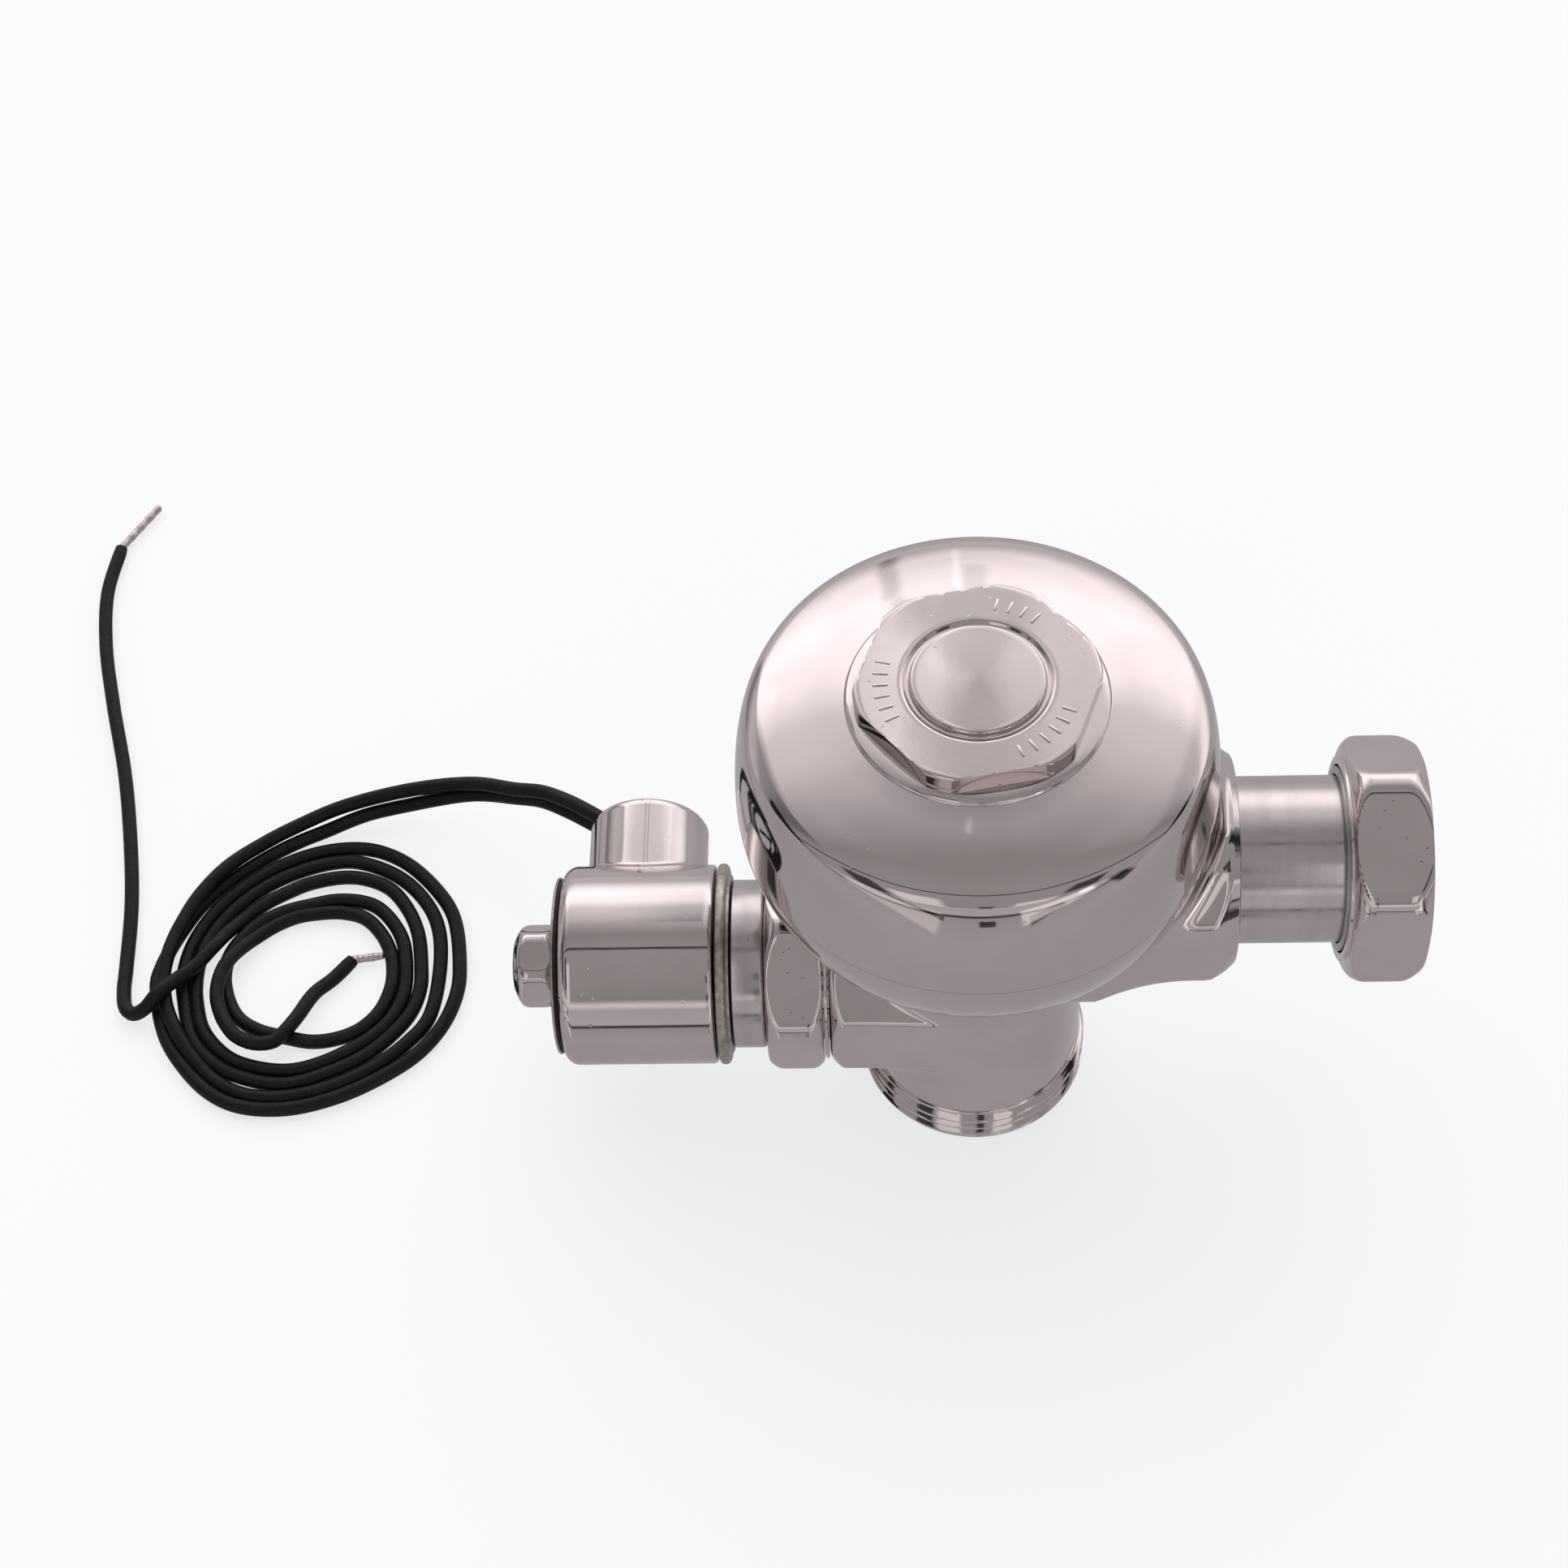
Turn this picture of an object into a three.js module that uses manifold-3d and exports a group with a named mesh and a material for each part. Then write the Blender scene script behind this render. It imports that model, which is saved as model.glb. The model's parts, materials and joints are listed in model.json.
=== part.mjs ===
// A solenoid flush valve: a chromed brass body under a domed cover, an inlet tailpiece with its
// coupling nut on the right and a solenoid operator with two bare-ended leads on the left.
// Millimetres, +Z up. The valve's own axis is Z, the outlet stands on z = 0 and the inlet points to +X.
import * as THREE from "three";
import { mergeVertices } from "three/addons/utils/BufferGeometryUtils.js";
import Module from "manifold-3d";

const wasm = await Module();
wasm.setup();

// ---------- driving dimensions ----------
const GAP = 0.3; // left between pieces that touch
const COARSE = 40; // sides on the widest round pieces
const MIDDLE = 26; // sides on tubes and nuts
const FINE = 16; // sides on the small round pieces
const SMALL = 12; // sides on stems and lead holes

const BOWL = { radius: 39.7, widest: 84.6, depth: 30, centre: 12 };
const WALL = 3.5;
const CHAMBER = { floor: 61.4, from: -62, to: -8, gap: 2, lip: 2.6, lipBase: 84 };
const SEAM = 82.6; // where the cover's skirt meets the body
const SHOULDER = { inner: 35.9, rise: 19.8, rim: 33.4, rimTop: 105.0, soften: 1.6, lastAngle: 73 };
const CONE = { radius: 27.5, top: 106.7 };
const COLLAR = { radius: 21, base: 108.1 };
const HEX = { top: 112.6, apothem: 18.3, corner: 19.9, turn: 11, foot: 0.9 };
const BUTTON = { radius: 11.35, top: 113.2, groove: 0.55, depth: 0.4, rim: 0.3 };
const COVER_INSIDE = { crown: 3.4, corner: 32, cornerTop: 101.2, skirtTop: 96 };
const INNER_COVER = {
  crown: 103.4,
  shoulder: 29.5,
  shoulderTop: 100.2,
  neck: 32.6,
  neckTop: 93,
  flange: 35.4,
  flangeTop: 92.6,
  flangeBase: 89.9,
  mouth: 31.2,
  mouthTop: 91,
  thickness: 2,
};
const DIAPHRAGM = { inner: 13.4, base: 87.2, web: 28.6, bead: 31.2, outer: 33, beadBase: 85 };
const DIAPHRAGM_THICKNESS = { web: 1.6, bead: 1.8 };
const DIAPHRAGM_GUIDE = { bore: 5.2, skirt: 11.4, flange: 15, hub: 12.9, low: 70, seat: 84.9, top: 91 };
const CLAMP_DISC = { inner: 13.3, outer: 24, base: 89.1, top: 90.6 };
const REFILL_RING = { inner: 11.7, outer: 12.3, base: 72, top: 78 };
const RELIEF_SEAT = { inner: 4, outer: 10.6, base: 91.3, top: 92.5 };
const RELIEF = { disc: 8.6, base: 92.8, top: 94.4, stem: 1.7, stemLow: 25.5 };
const COVER_GASKET = { inner: 33.5, outer: 35.4, low: 0.25, high: 0.6 };

const OUTLET = { radius: 19.3, crest: 20.35, bore: 14.5, depth: 50, threads: 4, pitch: 2.2 };
const SEAT = { radius: 16, bore: 12.6, top: 84.5, base: 80 };
const RIM_THREAD = { radius: 36, top: 89 };

const EIGHTH = 22.5; // an octagon's first corner in degrees, which puts a flat on top
const INLET = {
  height: 61.1,
  corner: 20.95,
  root: 14,
  face: 43.4,
  chamfer: 6,
  faceRadius: 18,
  passage: 10.5,
};
const TAIL = { radius: 14.25, bore: 12, start: 27, end: 73, groove: 0.9 };
const TAIL_GROOVES = { ringStart: 66.9, ringEnd: 68.7, sealStart: 69.9, sealEnd: 72.1 };
const LOCKING_RING = { root: 0.6, rise: 1.6 };
const TAIL_SEAL = { root: 0.6, rise: 0.9 };
const SLIP_WASHER = { start: 61, end: 66.9, wall: 1.5 };
const NUT = {
  start: 61.4,
  end: 74.8,
  apothem: 18.9,
  corner: 21.1,
  turn: -3.9,
  chamfer: 2.4,
  endRadius: 19.3,
  collar: 17.4,
  thread: 16.8,
  shoulder: 65.8,
};

const OPERATOR = {
  height: 30.05,
  corner: 19.3,
  face: -25.7,
  chamfer: 3.3,
  root: 10,
  faceRadius: 17,
  bore: 8.5,
  nipple: 13.4,
  tip: -34,
};
const OPERATOR_WASHER = { inner: 13.8, outer: 17.1, start: -26.55, end: -26 };
const OPERATOR_NUT = {
  start: -36.8,
  end: -26.85,
  apothem: 17.4,
  corner: 19.25,
  turn: 13.5,
  chamfer: 1.6,
  endRadius: 17.6,
  back: 12,
};
const SLEEVE = { radius: 15.05, start: -42.9, bore: 7, spigot: 11.7 };
const BASE_WASHER = { radius: 18, start: -45.6, end: -43.7, edge: 0.5, hub: 15.9, hubEnd: -43.2 };
const COIL_CASE = { radius: 17.85, start: -73.4, end: -45.9, wall: 1.8, floor: 1.4, fillet: 2.6 };
const NOZZLE = { radius: 10.9, x: -59.3, mouth: 29.2, bore: 8.7 };
const BOBBIN = { flange: 15.4, hub: 7.2, start: -71.7, end: -46.3, thickness: 1.4 };
const WINDING = { inner: 7.5, outer: 14.8, start: -70, end: -48 };
const END_GASKET = { outer: 15.2, start: -73.9, end: -73.6 };
const END_PLATE = { inner: 3.6, radius: 15.87, start: -74.5, end: -74.1 };
const END_NUT = {
  start: -82.6,
  end: -74.8,
  apothem: 6.95,
  corner: 7.65,
  turn: -13,
  chamfer: 1.8,
  endRadius: 5.4,
  thread: 3.3,
  depth: 3.1,
};
const GUIDE = { radius: 5.6, bore: 5.0, start: -73.3, end: -37.6 };
const CORE = { start: -73.2, end: -64.5, stud: 3, studStart: -79.2 };
const PLUNGER = { start: -64.2, end: -45 };
const PUSH_ROD = { radius: 1.6, start: -44.7, end: -2.4, head: 2.8, headStart: -6.4 };
const ROD_WAY = { inner: 2, outer: 6.7, bushStart: -37.3, bushEnd: -31, sealStart: -30.7, sealEnd: -28.8 };
const SPRING = { inner: 2.4, outer: 4.3, start: -44.6, end: -37.7 };
const GROMMET = { start: 15.2, clearance: 0.4 };
const LEAD_EXIT = 19.2; // where the leads leave the grommet inside the nozzle
const LEAD_SPREAD = 1.8; // from the nozzle's axis to each lead

const LEAD = { diameter: 2.5, strands: 1.6, sides: 8 };
const END_A = { toward: [-110.7, 21.2, 1.35], length: 6.2 };
const END_B = { toward: [-171.2, 136.4, 1.35], length: 13.5 };
const COIL_OF_LEADS = { x: -126.7, y: 16.7, outer: 31, inner: 16.3, height: 5.2, flatness: 0.94 };

// ---------- finishes ----------
const finish = (color, roughness, metalness) =>
  new THREE.MeshStandardMaterial({ color, roughness, metalness });
const CHROME = () => finish(0xb4abb2, 0.08, 1);
const SATIN_CHROME = () => finish(0xaaa29f, 0.25, 1);
const RAW_ZINC = () => finish(0x8f9388, 0.4, 1);
const BRASS = () => finish(0xb99a55, 0.35, 1);
const STEEL = () => finish(0x9a9da0, 0.3, 1);
const COPPER = () => finish(0xb4653a, 0.4, 1);
const TINNED = () => finish(0xb9aaa8, 0.35, 1);
const BLACK_RUBBER = () => finish(0x141212, 0.7, 0);
const BLUE_RUBBER = () => finish(0x2c3f63, 0.7, 0);
const WHITE_PLASTIC = () => finish(0xe6e4dc, 0.5, 0);
const BLACK_PLASTIC = () => finish(0x17191a, 0.5, 0);

// ---------- solids ----------
// A closed three.js geometry as a manifold-3d solid, so that it can be joined and cut.
function solid(geometry) {
  const bare = geometry.clone();
  bare.deleteAttribute("normal");
  bare.deleteAttribute("uv");
  const merged = mergeVertices(bare, 1e-4);
  return new wasm.Manifold(
    new wasm.Mesh({
      numProp: 3,
      vertProperties: merged.attributes.position.array,
      triVerts: new Uint32Array(merged.index.array),
    }),
  );
}

const join = (...solids) => solids.reduce((a, b) => a.add(b));
const cut = (blank, ...tools) => tools.reduce((a, b) => a.subtract(b), blank);
const common = (a, b) => a.intersect(b);

// A closed outline of [radius, height] points turned about Z. It may run along the axis.
function turned(outline, sides) {
  let area = 0;
  outline.forEach(([r, h], i) => {
    const [nextR, nextH] = outline[(i + 1) % outline.length];
    area += r * nextH - nextR * h;
  });
  const ordered = area > 0 ? outline : [...outline].reverse();
  const points = ordered.map(([r, h]) => new THREE.Vector2(r, h));
  const start = points.findIndex((p, i) => p.x === 0 && points.at(i - 1).x === 0);
  const rolled = start < 0 ? points : [...points.slice(start), ...points.slice(0, start)];
  if (start < 0) rolled.push(rolled[0].clone());
  return solid(new THREE.LatheGeometry(rolled, sides).rotateX(Math.PI / 2));
}

const rod = (radius, low, high, sides) =>
  turned([[0, low], [radius, low], [radius, high], [0, high]], sides);
const ring = (inner, outer, low, high, sides) =>
  turned([[inner, low], [outer, low], [outer, high], [inner, high]], sides);

// A prism along Z on a regular polygon: sides, corner radius, and the angle of its first corner in degrees.
function prism(sides, corner, turn, low, high) {
  const outline = new THREE.Shape();
  for (let i = 0; i < sides; i += 1) {
    const angle = THREE.MathUtils.degToRad(turn + (360 * i) / sides);
    const point = [corner * Math.cos(angle), corner * Math.sin(angle)];
    if (i === 0) outline.moveTo(...point);
    else outline.lineTo(...point);
  }
  outline.closePath();
  const depth = high - low;
  return solid(new THREE.ExtrudeGeometry(outline, { depth, bevelEnabled: false }).translate(0, 0, low));
}

// Turns a solid made along Z so that it lies along X at a height: its z becomes x, its y stays.
const alongX = (made, height) => made.rotate([0, 90, 0]).translate([0, 0, height]);

// A hexagon whose corners are turned off, with both ends chamfered: low and high are its ends.
function turnedHex({ apothem, corner, turn }, low, high, chamfer, endRadius) {
  const hex = prism(6, apothem / Math.cos(Math.PI / 6), turn, low, high);
  const blank = turned(
    [
      [0, low],
      [endRadius, low],
      [corner, low + chamfer],
      [corner, high - chamfer],
      [endRadius, high],
      [0, high],
    ],
    COARSE,
  );
  return common(hex, blank);
}

// Points of an elliptical arc in [radius, height], both ends included, angles in degrees.
function arc(centreR, centreH, radiusR, radiusH, from, to, steps) {
  const points = [];
  for (let i = 0; i <= steps; i += 1) {
    const angle = THREE.MathUtils.degToRad(from + ((to - from) * i) / steps);
    points.push([centreR + radiusR * Math.cos(angle), centreH + radiusH * Math.sin(angle)]);
  }
  return points;
}

// Thread ridges of [radius, height] points from low upwards.
function ridges(root, crest, low, pitch, count) {
  const points = [];
  for (let i = 0; i < count; i += 1) {
    const base = low + i * pitch;
    points.push([root, base], [crest, base + 0.35 * pitch], [crest, base + 0.6 * pitch]);
  }
  points.push([root, low + count * pitch]);
  return points;
}

// A round cord through points, as one closed tube.
function cord(points, diameter, sides, steps) {
  const curve = new THREE.CatmullRomCurve3(points.map((p) => new THREE.Vector3(...p)), false, "centripetal");
  const section = new THREE.Shape();
  for (let i = 0; i < sides; i += 1) {
    const angle = (2 * Math.PI * i) / sides;
    const point = [(diameter / 2) * Math.cos(angle), (diameter / 2) * Math.sin(angle)];
    if (i === 0) section.moveTo(...point);
    else section.lineTo(...point);
  }
  section.closePath();
  return solid(new THREE.ExtrudeGeometry(section, { steps, extrudePath: curve, bevelEnabled: false }));
}

const group = new THREE.Group();

function add(name, made, material) {
  const mesh = made.getMesh();
  const geometry = new THREE.BufferGeometry();
  geometry.setAttribute("position", new THREE.BufferAttribute(mesh.vertProperties, 3));
  geometry.setIndex(new THREE.BufferAttribute(mesh.triVerts, 1));
  const flat = geometry.toNonIndexed();
  flat.computeVertexNormals();
  const piece = new THREE.Mesh(flat, material);
  piece.name = name;
  group.add(piece);
}

// ---------- valve body ----------
// Angle of the bowl's ellipse, measured from its widest point, at which it reaches a radius.
const bowlAngle = (radius) =>
  THREE.MathUtils.radToDeg(Math.acos((radius - BOWL.centre) / (BOWL.radius - BOWL.centre)));
const seamAngle = THREE.MathUtils.radToDeg(Math.asin((BOWL.widest - SEAM) / BOWL.depth));

function valveBody() {
  const bowl = arc(BOWL.centre, BOWL.widest, BOWL.radius - BOWL.centre, BOWL.depth,
    -bowlAngle(OUTLET.radius), -seamAngle, 10);
  const outside = turned(
    [
      [0, 0],
      [OUTLET.radius - 0.3, 0],
      ...ridges(OUTLET.radius, OUTLET.crest, 0.2, OUTLET.pitch, OUTLET.threads),
      ...bowl,
      [RIM_THREAD.radius, SEAM],
      [RIM_THREAD.radius, RIM_THREAD.top],
      [0, RIM_THREAD.top],
    ],
    COARSE,
  );
  const chamberArc = arc(BOWL.centre, BOWL.widest, BOWL.radius - BOWL.centre - WALL, BOWL.depth - WALL,
    CHAMBER.from, CHAMBER.to, 6);
  const chamber = turned(
    [
      [SEAT.radius + CHAMBER.gap, CHAMBER.floor],
      ...chamberArc,
      [RIM_THREAD.radius - CHAMBER.lip, CHAMBER.lipBase],
      [RIM_THREAD.radius - CHAMBER.lip, RIM_THREAD.top + 1],
      [0, RIM_THREAD.top + 1],
      [0, SEAT.base],
      [SEAT.radius, SEAT.base],
      [SEAT.radius, CHAMBER.floor],
    ],
    COARSE,
  );
  const bore = rod(OUTLET.bore, -1, OUTLET.depth, MIDDLE);
  const seatBore = rod(SEAT.bore, OUTLET.depth - 1, SEAT.top + 2, MIDDLE);
  const inletBoss = common(
    prism(8, INLET.corner, EIGHTH, INLET.root, INLET.face),
    rodWithChamfer(INLET.corner + 1, INLET.faceRadius, INLET.root, INLET.face, INLET.chamfer),
  );
  const operatorBoss = common(
    prism(8, OPERATOR.corner, EIGHTH, OPERATOR.face, -OPERATOR.root),
    rodWithChamfer(OPERATOR.corner + 1, OPERATOR.faceRadius, OPERATOR.root, -OPERATOR.face,
      OPERATOR.chamfer).mirror([0, 0, 1]),
  );
  const inletPassage = join(
    rod(INLET.passage, SEAT.radius + 0.5, TAIL.start + 1, MIDDLE),
    rod(TAIL.radius + GAP, TAIL.start - GAP, INLET.face + 1, MIDDLE),
  );
  const operatorBore = rod(OPERATOR.bore, OPERATOR.tip - 1, -OUTLET.bore + 2, FINE);
  const nipple = rod(OPERATOR.nipple, OPERATOR.tip, -2 * OPERATOR.root, MIDDLE);
  return cut(
    join(
      outside,
      alongX(inletBoss, INLET.height),
      alongX(join(operatorBoss, nipple), OPERATOR.height),
    ),
    bore,
    seatBore,
    chamber,
    alongX(inletPassage, INLET.height),
    alongX(operatorBore, OPERATOR.height),
  );
}

// A round blank along Z with its high end chamfered from radius to endRadius over a length.
function rodWithChamfer(radius, endRadius, low, high, length) {
  return turned([[0, low], [radius, low], [radius, high - length], [endRadius, high], [0, high]], COARSE);
}

// ---------- covers ----------
function outerCover() {
  const skirt = arc(BOWL.centre, BOWL.widest, BOWL.radius - BOWL.centre, BOWL.depth, -seamAngle + 0.7, 0, 1);
  const shoulder = arc(SHOULDER.inner, BOWL.widest, BOWL.radius - SHOULDER.inner, SHOULDER.rise,
    6, SHOULDER.lastAngle, 6);
  const shell = turned(
    [
      ...skirt,
      ...shoulder,
      [SHOULDER.rim + SHOULDER.soften, SHOULDER.rimTop - 0.9],
      [SHOULDER.rim, SHOULDER.rimTop],
      [CONE.radius, CONE.top],
      [COLLAR.radius, COLLAR.base],
      [0, COLLAR.base],
      [0, COLLAR.base - COVER_INSIDE.crown],
      [COVER_INSIDE.corner, COVER_INSIDE.cornerTop],
      [RIM_THREAD.radius + GAP, COVER_INSIDE.skirtTop],
      [RIM_THREAD.radius + GAP, SEAM + GAP],
    ],
    COARSE,
  );
  const foot = turned(
    [
      [0, COLLAR.base - 1],
      [COLLAR.radius, COLLAR.base],
      [HEX.corner + 0.1, COLLAR.base + HEX.foot],
      [0, COLLAR.base + HEX.foot],
    ],
    COARSE,
  );
  const hex = turnedHex(HEX, COLLAR.base - 1, HEX.top, 0.35, HEX.corner - 0.35);
  const inside = BUTTON.radius - BUTTON.groove;
  const moat = ring(inside, BUTTON.radius, HEX.top - BUTTON.depth, HEX.top + 2, MIDDLE);
  const button = rod(inside, HEX.top - 1, BUTTON.top, MIDDLE);
  const rimTop = HEX.top + BUTTON.rim;
  const buttonRim = ring(BUTTON.radius - 0.1, BUTTON.radius + 0.5, HEX.top - 1, rimTop, MIDDLE);
  return join(cut(join(shell, foot, hex), moat), button, buttonRim);
}

// The inner cover closes the pressure chamber above the diaphragm.
const innerCover = () =>
  turned(
    [
      [0, INNER_COVER.crown],
      [INNER_COVER.shoulder, INNER_COVER.shoulderTop],
      [INNER_COVER.neck, INNER_COVER.neckTop],
      [INNER_COVER.flange, INNER_COVER.flangeTop],
      [INNER_COVER.flange, INNER_COVER.flangeBase],
      [INNER_COVER.mouth, INNER_COVER.flangeBase],
      [INNER_COVER.mouth - INNER_COVER.thickness, INNER_COVER.mouthTop],
      [INNER_COVER.shoulder - 2.5, INNER_COVER.shoulderTop - 1.6],
      [0, INNER_COVER.crown - INNER_COVER.thickness],
    ],
    COARSE,
  );

// ---------- diaphragm assembly ----------
const diaphragm = () =>
  turned(
    [
      [DIAPHRAGM.inner, DIAPHRAGM.base],
      [DIAPHRAGM.web, DIAPHRAGM.base],
      [DIAPHRAGM.bead, DIAPHRAGM.beadBase],
      [DIAPHRAGM.outer, DIAPHRAGM.beadBase],
      [DIAPHRAGM.outer, DIAPHRAGM.beadBase + DIAPHRAGM_THICKNESS.bead],
      [DIAPHRAGM.bead + 0.4, DIAPHRAGM.beadBase + DIAPHRAGM_THICKNESS.bead],
      [DIAPHRAGM.web + 0.6, DIAPHRAGM.base + DIAPHRAGM_THICKNESS.web],
      [DIAPHRAGM.inner, DIAPHRAGM.base + DIAPHRAGM_THICKNESS.web],
    ],
    COARSE,
  );
function diaphragmGuide() {
  const { bore, skirt, flange, hub, low, seat, top } = DIAPHRAGM_GUIDE;
  return join(
    ring(bore, skirt, low, DIAPHRAGM.base - 0.6, MIDDLE),
    ring(bore, flange, seat, DIAPHRAGM.base - GAP, MIDDLE),
    ring(bore, hub, DIAPHRAGM.base - 0.6, top, MIDDLE),
  );
}
const plainRing = ({ inner, outer, base, top }) => ring(inner, outer, base, top, MIDDLE);
const reliefValve = () =>
  join(
    rod(RELIEF.disc, RELIEF.base, RELIEF.top, FINE),
    rod(RELIEF.stem, RELIEF.stemLow, RELIEF.base + 0.2, SMALL),
  );
const mainSeat = () => ring(SEAT.bore, SEAT.radius, SEAT.base + GAP, SEAT.top, MIDDLE);
function coverGasket() {
  const { inner, outer, low, high } = COVER_GASKET;
  return ring(inner, outer, RIM_THREAD.top + low, RIM_THREAD.top + high, COARSE);
}

// ---------- inlet ----------
function tailpiece() {
  const { ringStart, ringEnd, sealStart, sealEnd } = TAIL_GROOVES;
  const root = TAIL.radius - TAIL.groove;
  const made = cut(
    rod(TAIL.radius, TAIL.start, TAIL.end, COARSE),
    rod(TAIL.bore, TAIL.start - 1, TAIL.end + 1, MIDDLE),
    ring(root, TAIL.radius + 1, ringStart, ringEnd, MIDDLE),
    ring(root, TAIL.radius + 1, sealStart, sealEnd, MIDDLE),
  );
  return alongX(made, INLET.height);
}
// A ring in one of the tailpiece's grooves, clear of the groove's sides.
const grooveRing = ({ root, rise }, start, end) =>
  alongX(
    ring(TAIL.radius - root, TAIL.radius + rise, start + GAP, end - GAP, MIDDLE),
    INLET.height,
  );
const lockingRing = () => grooveRing(LOCKING_RING, TAIL_GROOVES.ringStart, TAIL_GROOVES.ringEnd);
const tailSeal = () => grooveRing(TAIL_SEAL, TAIL_GROOVES.sealStart, TAIL_GROOVES.sealEnd);
function slipWasher() {
  const { start, end, wall } = SLIP_WASHER;
  const tube = ring(TAIL.radius + GAP, TAIL.radius + wall, start, end, MIDDLE);
  const flange = ring(TAIL.radius + GAP, NUT.thread - 0.4, NUT.shoulder + GAP, end, MIDDLE);
  return alongX(join(tube, flange), INLET.height);
}
function couplingNut() {
  const hole = TAIL.radius + SLIP_WASHER.wall + GAP;
  const blank = turnedHex(NUT, NUT.start + 0.5, NUT.end, NUT.chamfer, NUT.endRadius);
  const collar = ring(hole, NUT.collar, NUT.start, NUT.start + 2, MIDDLE);
  const mouth = rod(NUT.thread, NUT.shoulder, NUT.end + 1, MIDDLE);
  const back = rod(hole, NUT.start - 1, NUT.shoulder + 1, MIDDLE);
  return alongX(cut(join(blank, collar), mouth, back), INLET.height);
}

// ---------- operator ----------
const onOperator = (made) => alongX(made, OPERATOR.height);
function operatorWasher() {
  const { inner, outer, start, end } = OPERATOR_WASHER;
  return onOperator(ring(inner, outer, start, end, MIDDLE));
}
function operatorNut() {
  const { start, end, chamfer, endRadius, back } = OPERATOR_NUT;
  const blank = turnedHex(OPERATOR_NUT, start, end, chamfer, endRadius);
  const bore = rod(OPERATOR.nipple + GAP, OPERATOR.tip - 1.2, end + 1, MIDDLE);
  return onOperator(cut(blank, bore, rod(back, start - 1, OPERATOR.tip, MIDDLE)));
}
function operatorSleeve() {
  const barrel = ring(SLEEVE.bore, SLEEVE.radius, SLEEVE.start, OPERATOR_NUT.start - GAP, MIDDLE);
  const spigot = ring(SLEEVE.bore, SLEEVE.spigot, OPERATOR_NUT.start - 1, OPERATOR.tip - GAP, MIDDLE);
  return onOperator(join(barrel, spigot));
}
function baseWasher() {
  const { radius, start, end, edge, hub, hubEnd } = BASE_WASHER;
  return onOperator(
    turned(
      [
        [GUIDE.radius + GAP, start],
        [radius - edge, start],
        [radius, start + edge],
        [radius, end - edge],
        [radius - edge, end],
        [hub, end],
        [hub, hubEnd],
        [GUIDE.radius + GAP, hubEnd],
      ],
      COARSE,
    ),
  );
}

// The coil case is a cup open at the end plate, with the lead nozzle pointing to +Y.
function coilCase() {
  const { radius, start, end, wall, floor, fillet } = COIL_CASE;
  const cup = turned(
    [
      [0, start],
      [radius - fillet, start],
      ...arc(radius - fillet, start + fillet, fillet, fillet, -75, 0, 4),
      [radius, end - 0.4],
      [radius - 0.4, end],
      [0, end],
    ],
    COARSE,
  );
  const nozzle = rod(NOZZLE.radius, 4, NOZZLE.mouth, COARSE);
  const hollow = rod(radius - wall, start + floor, end + 1, MIDDLE);
  const centre = rod(GUIDE.radius + GAP, start - 1, end, FINE);
  const leadWay = rod(NOZZLE.bore, 10, NOZZLE.mouth + 1, MIDDLE);
  return cut(join(onOperator(cup), inNozzle(nozzle)), onOperator(join(hollow, centre)), inNozzle(leadWay));
}
// Turns a solid made along Z so that it lies on the nozzle's axis: its z becomes y.
const inNozzle = (made) => made.rotate([-90, 0, 0]).translate([NOZZLE.x, 0, OPERATOR.height]);
function leadGrommet() {
  const hole = rod(LEAD.diameter / 2 + GROMMET.clearance, GROMMET.start - 0.2, NOZZLE.mouth, SMALL);
  return inNozzle(
    cut(
      rod(NOZZLE.bore - GAP, GROMMET.start, LEAD_EXIT - GAP, MIDDLE),
      hole.translate([-LEAD_SPREAD, 0, 0]),
      hole.translate([LEAD_SPREAD, 0, 0]),
    ),
  );
}
function bobbin() {
  const { flange, hub, start, end, thickness } = BOBBIN;
  return onOperator(
    turned(
      [
        [GUIDE.radius + GAP, start],
        [flange, start],
        [flange, start + thickness],
        [hub, start + thickness],
        [hub, end - thickness],
        [flange, end - thickness],
        [flange, end],
        [GUIDE.radius + GAP, end],
      ],
      MIDDLE,
    ),
  );
}
const winding = () =>
  onOperator(ring(WINDING.inner, WINDING.outer, WINDING.start, WINDING.end, MIDDLE));
const endGasket = () =>
  onOperator(ring(GUIDE.radius + GAP, END_GASKET.outer, END_GASKET.start, END_GASKET.end, MIDDLE));
const endPlate = () =>
  onOperator(ring(END_PLATE.inner, END_PLATE.radius, END_PLATE.start, END_PLATE.end, COARSE));
function endNut() {
  const { start, end, chamfer, endRadius, thread, depth } = END_NUT;
  const hex = turnedHex(END_NUT, start, end, chamfer, endRadius);
  return onOperator(cut(hex, rod(thread, start + depth, END_PLATE.start, FINE)));
}
// The stainless guide tube holds the fixed core at its far end and the plunger in front of it.
const guideTube = () => onOperator(ring(GUIDE.bore, GUIDE.radius, GUIDE.start, GUIDE.end, FINE));
function fixedCore() {
  const core = rod(GUIDE.bore - GAP, CORE.start, CORE.end, FINE);
  const stud = rod(CORE.stud, CORE.studStart, CORE.start + 0.2, FINE);
  return onOperator(join(core, stud));
}
const plunger = () => onOperator(rod(GUIDE.bore - GAP, PLUNGER.start, PLUNGER.end, FINE));
function pushRod() {
  const { radius, start, end, head, headStart } = PUSH_ROD;
  return onOperator(join(rod(radius, start, end, SMALL), rod(head, headStart, end, SMALL)));
}
const rodWayRing = (start, end) =>
  onOperator(ring(ROD_WAY.inner, ROD_WAY.outer, start, end, FINE));
const returnSpring = () =>
  onOperator(ring(SPRING.inner, SPRING.outer, SPRING.start, SPRING.end, FINE));

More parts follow.
